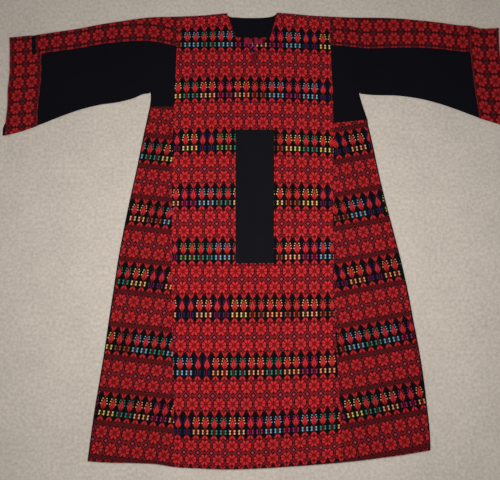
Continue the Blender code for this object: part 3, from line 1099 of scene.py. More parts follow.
@dataclass
class Cloth:
    """What the cloth measures, and how its upper layer lies.

    Attributes:
        body: the stitched cloth's thickness, as sleeve and strip are the others'.
        air: what is between the two layers where they lie closest.
        most_fold: how far folds and ripples may lift the upper layer.
        roll: how far in from an edge the cloth starts to roll.
        pitch: the size of a cell.
        seam_steps: places of the finer cells beside a seam.
    """

    body: float = 1.8
    sleeve: float = 1.0
    strip: float = 1.0
    strip_gap: float = 0.3
    air: float = 0.6
    most_fold: float = 2.6
    roll: float = 4.0
    roll_steps: int = 4
    pitch: float = 5.0
    seam_steps: tuple[float, ...] = (1.1, 2.4, 4.2, 7.0)
    seam_dip: float = 0.9
    seam_width: float = 2.2
    folds: tuple[Fold, ...] = table(
        Fold,
        (-462, 566, -545, 512, 22, 1.6), (-545, 512, -640, 420, 24, 2.2),
        (-500, 596, -600, 520, 20, 1.0), (-372, 560, -318, 520, 22, 1.5),
        (-330, 585, -290, 540, 20, 1.2), (-345, 490, -400, 470, 24, 1.3),
        (560, 548, 640, 470, 24, 2.0), (600, 545, 670, 492, 22, 1.2),
        (345, 540, 440, 518, 20, 1.5), (300, 470, 420, 470, 26, 1.2),
        (-330, -600, -345, -420, 40, 1.4), (-262, -690, -268, -560, 26, 1.5),
        (300, -660, 330, -430, 44, 1.5), (420, -640, 400, -470, 40, 1.3),
        (-120, -700, -100, -520, 46, 1.4), (90, -690, 60, -540, 46, 1.2),
        (-300, 330, -262, 220, 34, 1.2), (300, 300, 268, 160, 34, 1.2),
        (-680, 461, -722, 462, 5, 1.3), (-425, 600, -450, 655, 12, 0.9),
        (-590, 470, -655, 452, 13, 1.0), (430, 610, 505, 596, 14, 0.9),
        (585, 440, 640, 418, 16, 1.1), (-60, 430, 90, 422, 16, 0.8),
        (-190, 60, -120, 20, 20, 0.9), (150, -60, 205, -110, 18, 0.9),
    )
    ripples: tuple[Ripple, ...] = (
        Ripple(310, 190, 0.4, 0.5),
        Ripple(-160, 270, 1.9, 0.4),
        Ripple(95, 420, 3.1, 0.25),
    )

    @property
    def stack(self) -> float:
        """How far a sewn-on strip stands off the sleeve."""
        return self.strip + self.strip_gap

    @property
    def roll_angles(self) -> np.ndarray:
        """The angles over a rolled edge, from its face to the very edge, in degrees."""
        return np.linspace(FLAT_ANGLE, 0.0, self.roll_steps + 1)

    def air_under(self, x: Number, y: Number) -> Number:
        """Height of the air under the upper layer, with its soft folds.

        Args:
            x: places across.
            y: places along.

        Returns:
            The height at each place.
        """
        height = np.full(np.broadcast(x, y).shape, self.air)
        for fold in self.folds:
            run = np.array([fold.x1 - fold.x0, fold.y1 - fold.y0], float)
            along = ((x - fold.x0) * run[0] + (y - fold.y0) * run[1]) / (run @ run)
            along = np.clip(along, 0.0, 1.0)
            off = np.hypot(x - fold.x0 - along * run[0], y - fold.y0 - along * run[1])
            height = height + fold.rise * np.exp(-((off / fold.width) ** 2))
        for ripple in self.ripples:
            wave = np.sin(2 * math.pi * (x / ripple.across + y / ripple.along) + ripple.shift)
            height = height + ripple.rise * (1 + wave) / 2
        return np.minimum(height, self.air + self.most_fold)

    def dip(self, off: Number) -> Number:
        """How deep the cloth is drawn in at a distance from a seam."""
        return self.seam_dip * np.exp(-((off / self.seam_width) ** 2))

    def points(
        self,
        place: tuple[Number, Number],
        heights: tuple[Number, Number, Number],
        cloth: float,
        inward: tuple[float, float] = (0.0, 0.0),
        angle: float = FLAT_ANGLE,
    ) -> tuple[np.ndarray, np.ndarray]:
        """Places points on a wall's outer and inner face.

        Args:
            place: where an edge lies, seen from above.
            heights: those of the outer face, the inner face and the middle of the layers.
            cloth: the wall's thickness.
            inward: the way from the edge into the cloth.
            angle: FLAT_ANGLE past the roll, 0 on the very edge.

        Returns:
            The points on the two faces.
        """
        turn = 1 - math.cos(math.radians(angle))
        rise = math.sin(math.radians(angle))
        face, inside, middle = heights
        reach = cloth + (self.roll - cloth) * turn
        outer = [p + way * self.roll * turn for p, way in zip(place, inward)]
        inner = [p + way * reach for p, way in zip(place, inward)]
        outer.append(middle + rise * (face - middle))
        inner.append(middle + rise * (inside - middle))
        return (
            np.stack(np.broadcast_arrays(*outer), axis=-1),
            np.stack(np.broadcast_arrays(*inner), axis=-1),
        )


def count_down(dashes: Sequence[float], first: float, period: float) -> Curve:
    """Counts crosses downwards between the rows of short dashes under the vases.

    Args:
        dashes: the rows' heights, from the top.
        first: the count at the first of them.
        period: crosses from each of them to the next.

    Returns:
        The count by height, carried on for one more repeat each way.
    """
    step = (dashes[0] - dashes[-1]) / (len(dashes) - 1)
    heights = np.array([dashes[0] + step, *dashes, dashes[-1] - step])[::-1]
    counts = (first + period * np.arange(-1, len(dashes) + 1))[::-1]
    return Curve(heights, counts, np.gradient(counts, heights))


@dataclass
class Pattern:
    """How a gore's crosses are counted, whose rows run at a slant.

    Attributes:
        slant: how far its rows rise to the right, in degrees.
        column: how far along its rows one column of rosettes is.
        row: how far up a row of rosettes is, square to the rows.
        drift: how far the columns move to the left for each step up.
        pitch: how far the rosettes are apart.
        dashes: the rows of dashes, square to the rows, from the top.
    """

    slant: float
    column: float
    row: float
    drift: float
    pitch: float
    dashes: tuple[float, ...]
    first_count: float = -379.5
    period: float = 116.0
    crosses: int = 24

    def count(self, x: np.ndarray, y: np.ndarray) -> np.ndarray:
        """Counts crosses across and down.

        Args:
            x: places across.
            y: places along.

        Returns:
            The two counts at each place.
        """
        turn = math.radians(self.slant)
        along = x * math.cos(turn) + y * math.sin(turn)
        up = y * math.cos(turn) - x * math.sin(turn)
        off = along - self.column + self.drift * (self.row - up)
        across = Spacing(0.0, self.pitch).count(off, self.crosses)
        down = count_down(self.dashes, self.first_count, self.period).at(up)
        return np.stack([across, down], axis=-1)


@dataclass
class Body:
    """The dress's body: two straight panels, an inset and four gores.

    Its grids have rows at levels, which run straight across between hem_bend and
    neck_floor, bend to the hem's line below and to the shoulders' above.

    Attributes:
        slit_gape: how far the slit's edges stand further apart at its top.
        side_width: how wide the panel is beside its middle, about, to lay out its cells.
        back_dip: how much of a seam's dip the lower layer has.
        rolled_level: how much higher each row over the rolled shoulder counts.
        middle_sides: the sides of the inset, the yoke and the neckline.
        panel_dashes: the rows of dashes under the vases, from the top.
    """

    cloth: Cloth
    slit_gape: float = 1.1
    side_width: float = 190.0
    middle_width: float = 56.0
    gore_width: float = 210.0
    back_dip: float = 0.6
    hem_stitch_in: float = 6.0
    hem_stitch_up: float = 3.2
    neck_stitch_out: float = 2.2
    rolled_level: float = 1.5
    hem_level: float = -690.0
    hem_bend: float = -460.0
    shoulder_level: float = 695.0
    neck_floor: float = 619.0
    slit_x: float = -6.0
    slit_length: float = 50.0
    slit_width: float = 1.4
    inset_top: float = 318.0
    inset_bottom: float = -101.0
    panel_seams: tuple[SeamRow, ...] = table(
        SeamRow,
        (-720, -235.0, 256.0), (-565, -240.0, 249.0), (-331, -249.0, 239.5),
        (-121, -254.0, 237.0), (95, -256.0, 238.0), (286, -257.0, 242.0),
        (415, -254.0, 243.0), (547, -250.0, 239.0), (720, -247.0, 238.0),
    )
    side_seams: tuple[SeamRow, ...] = table(
        SeamRow,
        (-700, -492.0, 510.5), (-622, -484.0, 510.0), (-536, -474.5, 504.5),
        (-449, -462.5, 498.0), (-361, -450.5, 487.0), (-272, -440.0, 472.5),
        (-182, -428.5, 458.5), (-90, -417.0, 440.5), (2, -402.5, 419.5),
        (95, -386.0, 398.0), (190, -367.5, 378.5), (286, -350.5, 361.0),
        (392, -330.5, 338.0),
    )
    hem: tuple[EdgeRow, ...] = table(
        EdgeRow,
        (-495, -681.0), (-455, -684.0), (-338, -687.0), (-280, -690.5), (-233, -698.0),
        (-163, -701.5), (-70, -704.0), (26, -701.0), (99, -696.0), (157, -692.5),
        (225, -687.0), (333, -676.0), (421, -664.5), (515, -649.5),
    )
    shoulders: tuple[EdgeRow, ...] = table(
        EdgeRow,
        (-260, 690.5), (-177, 694.0), (-93, 702.0), (70, 704.0),
        (110, 701.0), (174, 694.5), (250, 690.5),
    )
    middle_sides: tuple[SeamRow, ...] = table(
        SeamRow,
        (-101, -60.5, 55.0), (318, -61.5, 57.0), (619, -59.5, 47.5),
        (664, -78.0, 60.5), (706, -93.5, 70.5),
    )
    back_neck: tuple[EdgeRow, ...] = table(
        EdgeRow,
        (-94, 702.0), (-84, 692.0), (-62, 688.5), (-8, 686.5),
        (36, 688.5), (60, 694.5), (71, 703.5),
    )
    gore_tops: dict[Side, tuple[EdgeRow, ...]] = field(
        default_factory=lambda: {
            Side.LEFT: (EdgeRow(-335, 392.0), EdgeRow(-245, 392.0)),
            Side.RIGHT: (EdgeRow(235, 338.5), EdgeRow(355, 350.5)),
        }
    )
    gore_patterns: dict[Side, Pattern] = field(
        default_factory=lambda: {
            Side.LEFT: Pattern(
                -6.2, -285.3, -453.7, 0.115, 39.2, (192.1, -4.0, -200.4, -397.6, -589.4)
            ),
            Side.RIGHT: Pattern(
                10.5, 260.6, -453.3, -0.05, 40.3, (194.8, -9.4, -208.0, -399.4, -592.5)
            ),
        }
    )
    panel_dashes: tuple[float, ...] = (
        595.4,
        429.2,
        257.4,
        85.9,
        -80.9,
        -251.7,
        -426.1,
        -594.8,
        -737.6,
    )
    panel_first_count: float = -24.5
    panel_period: float = 102.0
    panel_columns: tuple[ColumnRow, ...] = (
        ColumnRow(-650, -229.5, 209.4),
        ColumnRow(-150, -220.2, 217.1),
        ColumnRow(555, -215.5, 227.5),
    )
    columns_between: int = 11
    rosette_crosses: int = 24
    row_drops: tuple[RowDrop, ...] = (
        RowDrop(600, 1.0, 0.0, 9.5),
        RowDrop(430, 4.5, 0.0, 10.0),
        RowDrop(300, 1.5, -1.5, 9.0),
        RowDrop(100, 3.0, 0.0, 4.0),
        RowDrop(-100, 3.0, 3.0, 0.0),
        RowDrop(-200, 5.5, 5.0, 3.0),
        RowDrop(-360, 4.0, 4.0, -4.0),
        RowDrop(-450, 1.0, 1.0, -7.0),
        RowDrop(-600, -2.0, -3.0, -9.0),
        RowDrop(-690, -3.0, -3.0, -9.0),
    )
    slit_satins: tuple[Satin, ...] = (
        Satin("neck_facing", "black", -47.0, 608.0, 32.0, 608.0, 21.0, 0.9),
        Satin("slit_block_a", "magenta", -35.0, 606.5, -22.5, 606.5, 21.0, 1.9),
        Satin("slit_block_b", "magenta", -20.5, 606.5, -9.5, 606.5, 20.0, 1.9),
        Satin("slit_block_c", "magenta", -2.5, 606.0, 9.0, 606.0, 21.0, 1.9),
        Satin("slit_block_d", "magenta", 11.0, 606.0, 23.0, 606.0, 21.0, 1.9),
        Satin("slit_bar_left", "purple", -16.5, 583.0, -9.5, 592.0, 5.0, 1.7),
        Satin("slit_bar_right", "purple", -3.5, 592.0, 4.0, 584.0, 5.0, 1.7),
        Satin("slit_knot", "navy", -11.5, 575.0, -0.5, 575.0, 11.0, 2.0),
        Satin("slit_column", "wine", -5.5, 531.0, -5.5, 566.0, 15.0, 1.5),
    )
    cuts: dict[str, Cut] = field(
        default_factory=lambda: {
            "front_panel": Cut(0.50, 1.41, 0.635),
            "front_inset": Cut(0.118, 0.419),
            "back_panel": Cut(0.50, 1.41, 0.69),
            "gore_left": Cut(0.26, 1.08, 0.183),
            "gore_right": Cut(0.26, 1.08, 0.208),
        }
    )

    def __post_init__(self) -> None:
        """Sets up the curves through the tables, and the grid's levels."""
        self.seam, self.side, self.middle = (
            {side: Curve.of(rows, "height", side.value) for side in Side}
            for rows in (self.panel_seams, self.side_seams, self.middle_sides)
        )
        self.hem_line = Curve.of(self.hem, "x", "height")
        self.shoulder_line = Curve.of(self.shoulders, "x", "height")
        self.back_neck_line = Curve.of(self.back_neck, "x", "height")
        self.gore_top = {
            side: Curve.of(rows, "x", "height") for side, rows in self.gore_tops.items()
        }
        self.slit_end = self.neck_floor - self.slit_length
        self.levels = self.make_levels()

    def make_levels(self) -> np.ndarray:
        """Lists the levels of the grid's rows, finer beside each seam.

        Returns:
            The levels, from the hem to the shoulder.
        """
        stops = (
            self.hem_level,
            self.hem_bend,
            self.inset_bottom,
            self.inset_top,
            self.slit_end,
            self.neck_floor,
            self.shoulder_level,
        )
        rows = [np.array([stops[0]])]
        for low, high in zip(stops, stops[1:]):
            fine = self.cloth.seam_steps if high - low > 100 else ()
            rows.append(low + (high - low) * graded(high - low, self.cloth.pitch, fine)[1:])
        return np.concatenate(rows)

    def height(self, level: Number, x: Number, top: Number | None = None) -> Number:
        """Where a row runs: bent to the hem below, and above to top or the shoulders.

        Args:
            level: the row's level.
            x: places across.
            top: the height of the last row, in place of the shoulder's.

        Returns:
            The height at each place.
        """
        if top is None:
            top = self.shoulder_line.at(x) - self.cloth.roll
        below = (self.hem_bend - level) / (self.hem_bend - self.hem_level)
        above = (level - self.neck_floor) / (self.shoulder_level - self.neck_floor)
        bent = np.where(
            level < self.hem_bend,
            self.hem_bend + below * (self.hem_line.at(x) - self.hem_bend),
            level,
        )
        return np.where(
            level > self.neck_floor,
            self.neck_floor + above * (top - self.neck_floor),
            bent,
        )

    def columns(self, level: np.ndarray) -> tuple[np.ndarray, np.ndarray]:
        """Where the panel's columns stand at each level.

        Args:
            level: the rows' levels.

        Returns:
            The places across, and for each cell between two of them the part of the panel
            that it lies in: 0 outside, 1 the middle, 2 the slit.
        """
        level = level[:, None]
        left, right = (self.seam[side].at(level) for side in Side)
        middle_left, middle_right = (self.middle[side].at(level) for side in Side)
        gape = self.slit_gape * ease((level - self.slit_end) / self.slit_length)
        gape = self.slit_width / 2 + gape
        outside = graded(self.side_width, self.cloth.pitch, self.cloth.seam_steps)
        middle = graded(self.middle_width, self.cloth.pitch, self.cloth.seam_steps[:2])
        blocks = (
            left + (middle_left - left) * outside,
            (middle_left + (self.slit_x - gape - middle_left) * middle)[:, 1:],
            self.slit_x + gape + (middle_right - self.slit_x - gape) * middle,
            (middle_right + (right - middle_right) * outside)[:, 1:],
        )
        parts = np.zeros(sum(block.shape[1] for block in blocks) - 1, int)
        first, half = len(outside) - 1, len(middle) - 1
        parts[first : first + 2 * half + 1] = 1
        parts[first + half] = 2
        return np.concatenate(blocks, axis=1), parts

    def layer_points(
        self, x: np.ndarray, y: np.ndarray, layer: Layer, off: Number, **roll: object
    ) -> tuple[np.ndarray, np.ndarray]:
        """Places points of the body's upper or lower layer.

        Args:
            x: places across.
            y: places along.
            layer: which layer.
            off: distances from the nearest seam.
            roll: how the edge rolls, as Cloth.points takes it.

        Returns:
            The points on the outer and the inner face.
        """
        cloth = self.cloth.body
        middle = cloth + self.cloth.air / 2
        dip = self.cloth.dip(off)
        if layer is Layer.BACK:
            heights = (dip * self.back_dip, np.full(x.shape, cloth), middle)
        else:
            inside = cloth + self.cloth.air_under(x, y)
            heights = (inside + cloth - dip, inside, middle)
        return self.cloth.points((x, y), heights, cloth, **roll)

    def panel_pattern(self, level: np.ndarray, x: np.ndarray) -> np.ndarray:
        """Counts a panel's crosses: its rows are level and its columns drift to one side.

        Args:
            level: the rows' levels.
            x: places across.

        Returns:
            The counts across and down.
        """
        level = level[:, None]
        first, last = (
            Curve.of(self.panel_columns, "height", name).at(level) for name in ("first", "last")
        )
        pitch = (last - first) / self.columns_between
        across = ((x - first) / pitch - 1) * self.rosette_crosses + 0.5
        rows = count_down(self.panel_dashes, self.panel_first_count, self.panel_period)
        left, middle, right = (
            Curve.of(self.row_drops, "height", name).at(level)
            for name in ("left", "middle", "right")
        )
        share = (x - x.min()) / (x.max() - x.min())
        drop = left * (1 - share) * (1 - 2 * share) + right * share * (2 * share - 1)
        drop = drop + 4 * middle * share * (1 - share)
        return np.stack(np.broadcast_arrays(across, rows.at(level + drop)), axis=-1)

    def on_top(self, spots: np.ndarray, steps: int = 40) -> np.ndarray:
        """Lays a line, seen from above, on the upper layer.

        Args:
            spots: the line's corners, across and along.
            steps: how many points it gets.

        Returns:
            Its points, with their heights.
        """
        run = np.linspace(0.0, 1.0, steps)
        at = np.linspace(0.0, 1.0, len(spots))
        x, y = (np.interp(run, at, spots[:, k]) for k in (0, 1))
        return np.stack([x, y, 2 * self.cloth.body + self.cloth.air_under(x, y)], axis=-1)

    def hem_stitches(self, steps: int = 200) -> np.ndarray:
        """Lays the row of stitches over the hem's turning.

        Args:
            steps: how many points it gets.

        Returns:
            The row's points.
        """
        left, right = (
            float(self.side[side].at(self.hem_level)) + side.inward * self.hem_stitch_in
            for side in Side
        )
        x = np.linspace(left, right, steps)
        y = self.hem_line.at(x) + self.hem_stitch_up
        return self.on_top(np.stack([x, y], axis=-1), steps)

    def neck_lines(self, steps: int = 30) -> list[np.ndarray]:
        """Lays the rows of stitches along the neckline's two sides.

        Args:
            steps: how many points each gets.

        Returns:
            The rows' points.
        """
        y = np.linspace(self.neck_floor, self.shoulder_level, steps)
        found = []
        for side in Side:
            x = self.middle[side].at(y) - side.inward * self.neck_stitch_out
            found.append(self.on_top(np.stack([x, y], axis=-1), steps))
        return found

    def panel_grid(self, layer: Layer) -> tuple[np.ndarray, ...]:
        """Lays out a panel's two grids, whose last rows roll over the shoulders.

        Args:
            layer: which layer.

        Returns:
            The outer grid, the inner grid, the counted crosses, the rows' levels and the
            part of the panel that each column of cells lies in.
        """
        x, parts = self.columns(self.levels)
        level = self.levels[:, None]
        top = self.shoulder_line.at(x) - self.cloth.roll
        in_neck = np.zeros(x.shape[1], bool)
        middle = np.flatnonzero(parts > 0)
        in_neck[middle[0] + 1 : middle[-1] + 1] = True
        if layer is Layer.BACK:
            top = np.where(in_neck, self.back_neck_line.at(x), top)
        y = self.height(level, x, top)
        edges = [x - x[:, :1], x[:, -1:] - x]
        if layer is Layer.FRONT:
            left, right = (self.middle[side].at(level) for side in Side)
            past = np.maximum(self.inset_bottom - level, level - self.inset_top)
            near = np.maximum(past, 0.0)
            edges += [np.hypot(np.abs(x - side), near) for side in (left, right)]
            within = (x > left) & (x < right)
            ends = np.minimum(np.abs(level - self.inset_bottom), np.abs(level - self.inset_top))
            edges.append(np.where(within, ends, FAR))
        off = np.minimum.reduce(edges)
        rows = [self.layer_points(x, y, layer, off)]
        levels = list(self.levels)
        shoulder = x[-1:]
        edge = self.shoulder_line.at(shoulder)
        for angle in self.cloth.roll_angles[1:]:
            rows.append(
                self.layer_points(
                    shoulder, edge, layer, off[-1:], inward=(0.0, -1.0), angle=angle
                )
            )
            levels.append(levels[-1] + self.rolled_level)
        outer, inner = (np.concatenate([row[face] for row in rows]) for face in (0, 1))
        levels = np.array(levels)
        wide = np.concatenate([x, np.repeat(shoulder, self.cloth.roll_steps, axis=0)])
        return outer, inner, self.panel_pattern(levels, wide), levels, parts

    def build_front(self) -> tuple[Wall, Wall]:
        """Cuts the front panel, and the inset let into it.

        Returns:
            The panel's wall and the inset's.
        """
        outer, inner, stitches, levels, parts = self.panel_grid(Layer.FRONT)
        low = levels[:-1, None]
        part = parts[None, :]
        outside = (part == 0) | (low < self.inset_bottom)
        inset = ~outside & (low < self.inset_top)
        yoke = ~outside & ~inset & (low < self.neck_floor)
        yoke &= (low < self.slit_end) | (part == 1)
        panel = Wall("front_panel_cloth", outer, inner, outside | yoke, stitches)
        let_in = Wall("front_inset_cloth", outer, inner, inset, stitches)
        return panel, let_in

    def build_back(self) -> Wall:
        """Cuts the back panel, whole, with a shallow neck.

        Returns:
            The panel's wall.
        """
        outer, inner, stitches, levels, parts = self.panel_grid(Layer.BACK)
        cells = (levels[:-1, None] < self.shoulder_level) | (parts[None, :] == 0)
        return Wall("back_panel_cloth", outer, inner, cells, stitches)

    def build_gore(self, side: Side, layer: Layer) -> Wall:
        """Cuts a gore, whose outer edge rolls to its twin's.

        Args:
            side: the garment's side.
            layer: which layer.

        Returns:
            The gore's wall.
        """
        top = self.gore_top[side]
        top_level = float(top.values.min())
        level = self.levels[self.levels < top_level - self.cloth.pitch / 2]
        level = np.append(level, top_level)[:, None]
        seam, edge = self.seam[side].at(level), self.side[side].at(level)
        roll_start = edge + side.inward * self.cloth.roll
        share = graded(self.gore_width, self.cloth.pitch, self.cloth.seam_steps)
        last = level == top_level
        x = seam + (roll_start - seam) * share
        y = np.where(last, top.straight(x), self.height(level, x))
        off = np.minimum(np.abs(x - seam), top_level - level + 0 * x)
        blocks = [self.layer_points(x, y, layer, off)]
        y_edge = np.where(last, top.straight(edge), self.height(level, edge))
        for angle in self.cloth.roll_angles[1:]:
            blocks.append(
                self.layer_points(
                    edge, y_edge, layer, FAR, inward=(side.inward, 0.0), angle=angle
                )
            )
        outer, inner = (np.concatenate([b[face] for b in blocks], axis=1) for face in (0, 1))
        stitches = self.gore_patterns[side].count(outer[..., 0], outer[..., 1])
        cells = np.ones((outer.shape[0] - 1, outer.shape[1] - 1), bool)
        name = f"{layer.value}_gore_{side.value}_cloth"
        return Wall(name, outer, inner, cells, stitches, self.cloth.roll_steps)


@dataclass
class Sleeve:
    """A sleeve with the band along its fold and the band round its cuff.

    It is a ring of rows, from the fold down the upper layer and back up the lower one,
    in sections that run from the armhole to the cuff.

    Attributes:
        reach: where the part above the gores ends.
        corner: how high the underarm edge starts.
        notched: whether the band has slid over the fold and left a notch at the cuff.
        crosses: how many crosses a rosette takes up across and down a strip.
        strip_slope: over how much the sleeve comes down from a strip under it.
        step_down: over how much the upper layer comes down beyond the band.
        side_roll: the share of the part above the gores before its side rolls.
        cuff_steps: sections up to the notch, over it and beyond it.
        before_cuff: how far before the cuff the sleeve starts to rise to it.
        notch: the shares of the cuff's width where the notch starts and ends.
    """

    side: Side
    cloth: Cloth
    body: Body
    fold: tuple[EdgeRow, ...]
    under: tuple[EdgeRow, ...]
    reach: tuple[EdgeRow, ...]
    cuff: tuple[CuffRow, ...]
    band: tuple[BandRow, ...]
    corner: float
    first_section: float
    last_section: float
    notched: bool
    cuff_columns: Spacing
    cuff_rows: Spacing
    band_columns: Spacing
    band_lines: Spacing
    cuts: dict[str, Cut]
    crosses: tuple[int, int] = (26, 24)
    band_width: float = 180.0
    strip_slope: float = 14.0
    step_down: float = 60.0
    side_roll: float = 0.95
    under_columns: int = 15
    plain_pitch: float = 5.5
    cuff_steps: tuple[int, int, int] = (5, 2, 14)
    underarm_rows: int = 8
    band_rows: int = 14
    slope_rows: int = 4
    rest_rows: int = 34
    before_cuff: float = 44.0
    rise_before: float = 2.4
    edging_inset: float = 1.7
    notch: tuple[float, float] = (0.175, 0.30)

    def __post_init__(self) -> None:
        """Sets up the curves through the tables."""
        self.fold_line = Curve.of(self.fold, "x", "height")
        self.under_line = Curve.of(self.under, "x", "height")
        self.reach_line = Curve.of(self.reach, "height", "x")
        self.cuff_lines = {
            name: Curve.of(self.cuff, "height", name) for name in ("inner", "outer", "turned")
        }
        self.band_line = Curve.of(self.band, "x", "front")
        self.sections = self.make_sections()
        self.walls: dict[str, Wall] = {}

    def make_sections(self) -> list[tuple[Ground, float, float]]:
        """Lists the sections from the armhole to the cuff.

        Returns:
            For each what it lies on, its place there and how far its side is rolled.
        """
        found = [
            (Ground.UNDERARM, share, FLAT_ANGLE)
            for share in np.linspace(0, self.side_roll, self.under_columns)
        ]
        for angle in self.cloth.roll_angles[1:]:
            share = 1 - (1 - self.side_roll) * (1 - math.cos(math.radians(angle)))
            found.append((Ground.UNDERARM, share, angle))
        span = abs(self.last_section - self.first_section)
        count = round(span / self.plain_pitch)
        for x in np.linspace(self.first_section, self.last_section, count):
            found.append((Ground.PLAIN, float(x), FLAT_ANGLE))
        stops = (0.0, *self.notch, 1.0)
        for start, end, count in zip(stops, stops[1:], self.cuff_steps):
            shares = np.linspace(start, end, count)
            shares = shares if end == 1.0 else shares[:-1]
            found += [(Ground.CUFF, float(share), FLAT_ANGLE) for share in shares]
        return found

    def x_at(self, ground: Ground, value: float, y: Number, turned: bool) -> Number:
        """Where a section runs at some heights.

        Args:
            ground: what it lies on.
            value: its place there.
            y: the heights.
            turned: whether this is the lower layer, whose corner is turned out.

        Returns:
            The places across.
        """
        if ground is Ground.PLAIN:
            return value + 0 * y
        if ground is Ground.UNDERARM:
            seam = self.body.seam[self.side].at(y)
            return seam + (self.reach_line.straight(y) - seam) * value
        inner = self.cuff_lines["inner"].at(y)
        outer = self.cuff_lines["turned" if turned else "outer"].at(y)
        return inner + (outer - inner) * value

    def heights(
        self,
        ground: Ground,
        x: Number,
        y: Number,
        distance: Number,
        back_band: float,
        layer: Layer,
    ) -> tuple[Number, Number, Number]:
        """Heights of a layer's faces, where the layers lie on strips.

        Args:
            ground: what the section lies on.
            x: places across.
            y: places along.
            distance: distances from the fold.
            back_band: how far the band comes down the lower layer.
            layer: which layer.

        Returns:
            The heights of the outer face, the inner face and the middle.
        """
        stack = self.cloth.stack
        before = (abs(self.cuff_lines["inner"].at(y)) - abs(x)) / self.before_cuff
        on_band = 1 - ease((distance - back_band) / self.strip_slope)
        on_cuff = 1.0 if ground is Ground.CUFF else 1 - ease(before * self.rise_before)
        low = stack * np.maximum(on_band, on_cuff)
        past_band = ease((distance - back_band - self.strip_slope) / self.step_down)
        under = stack * (1 - past_band * ease((before + 0.5) / 2.5))
        top = under + 2 * self.cloth.sleeve + self.cloth.air_under(x, y)
        middle = (low + top) / 2
        if layer is Layer.FRONT:
            return top, top - self.cloth.sleeve, middle
        return low, low + self.cloth.sleeve, middle

    def section(
        self, ground: Ground, value: float, side_angle: float
    ) -> tuple[np.ndarray, np.ndarray, np.ndarray, float]:
        """Places one section's points, over the fold and down both layers.

        Args:
            ground: what it lies on.
            value: its place there.
            side_angle: how far its side is rolled below the underarm.

        Returns:
            The points on the outer and the inner face, each point's distance from the
            fold, below 0 on the lower layer, and how far the band comes down in front.
        """
        roll = self.cloth.roll
        tube = ground is not Ground.UNDERARM
        at_top = self.x_at(ground, value, self.body.shoulder_level, False)
        fold_y = float(self.fold_line.at(at_top)) - self.cloth.stack
        low_y = self.corner
        if tube:
            at_low = self.x_at(ground, value, self.under[-1].height, False)
            low_y = float(self.under_line.at(at_low))
        front = float(self.band_line.at(self.x_at(ground, value, fold_y, False)))
        front -= self.cloth.stack
        bands = {Layer.FRONT: front, Layer.BACK: self.band_width - front}
        drop = fold_y - low_y - roll - (roll if tube else 0.0)

        def place(
            y: Number,
            distance: Number,
            layer: Layer,
            inward: float = 0.0,
            angle: float = FLAT_ANGLE,
        ) -> tuple[np.ndarray, np.ndarray]:
            """Places points of one layer.

            Args:
                y: their places along.
                distance: their distances from the fold.
                layer: which layer.
                inward: the way from the edge into the cloth, up or down.
                angle: FLAT_ANGLE past the roll, 0 on the very edge.

            Returns:
                The points on the outer and the inner face.
            """
            y, distance = np.atleast_1d(y).astype(float), np.atleast_1d(distance)
            x = self.x_at(ground, value, y, layer is Layer.BACK)
            heights = self.heights(ground, x, y, distance, bands[Layer.BACK], layer)
            return self.cloth.points((x, y), heights, self.cloth.sleeve, (0.0, inward), angle)

        def below(layer: Layer) -> tuple[list[tuple[np.ndarray, np.ndarray]], list[float]]:
            """Places points down one layer and round, or down to, its lower edge.

            Args:
                layer: which layer.

            Returns:
                Groups of points on the two faces, and each point's distance from the fold.
            """
            stops = (0.0, bands[layer], bands[layer] + self.strip_slope, drop)
            counts = (self.band_rows, self.slope_rows, self.rest_rows)
            rows = np.concatenate(
                [
                    np.linspace(start, end, count + 1)[1:]
                    for start, end, count in zip(stops, stops[1:], counts)
                ]
            )
            found, away = [place(fold_y - roll - rows, rows, layer)], list(rows)
            for step in range(1, self.underarm_rows + 1):
                part = step / self.underarm_rows
                if tube:
                    angle = FLAT_ANGLE * (1 - step / (self.underarm_rows + 0.5))
                    found.append(place(low_y, drop, layer, 1.0, angle))
                    away.append(drop + roll * part)
                    continue
                top = self.body.gore_top[self.side]
                end = float(top.straight(self.x_at(ground, value, self.corner, False)))
                end = float(top.straight(self.x_at(ground, value, end, False)))
                y = low_y + (end - low_y) * part
                found.append(place(y, drop, layer, 0.0, side_angle))
                away.append(drop + (low_y - end) * part)
            return found, away

        angles = self.cloth.roll_angles
        arc = roll * np.radians(angles)
        over = [place(fold_y, 0.0, Layer.FRONT, -1.0, angle) for angle in angles]
        under = [place(fold_y, 0.0, Layer.BACK, -1.0, angle) for angle in angles][:-1][::-1]
        back, back_away = below(Layer.BACK)
        fore, fore_away = below(Layer.FRONT)
        edge = roll * math.pi / 2
        faces = []
        for face in (0, 1):
            upper = np.concatenate([part[face] for part in fore])
            rows = [part[face] for part in (*over, *under, *back)]
            faces.append(np.concatenate([*rows, upper[::-1]]))
        away = [*arc, *(-arc[:-1][::-1]), *(-edge - np.array(back_away))]
        away += list((edge + np.array(fore_away))[::-1])
        return faces[0], faces[1], np.array(away), front

    def build(self) -> dict[str, Wall]:
        """Cuts the sleeve and its two strips.

        Returns:
            Their walls by the name of the piece that each stands for.
        """
        side = self.side.value
        made = [self.section(*section) for section in self.sections]
        outer = np.stack([section[0] for section in made], axis=1)
        inner = np.stack([section[1] for section in made], axis=1)
        away = np.stack([section[2] for section in made], axis=1)
        fronts = np.array([section[3] for section in made])
        rows, columns = outer.shape[0], outer.shape[1] - 1
        kinds = [section[0] for section in self.sections]
        reach_column = kinds.index(Ground.PLAIN) - 1
        cuff_column = kinds.index(Ground.CUFF)
        fold_rows = 2 * self.cloth.roll_steps
        half = self.band_rows + self.slope_rows + self.rest_rows + self.underarm_rows
        seam_row = fold_rows + half

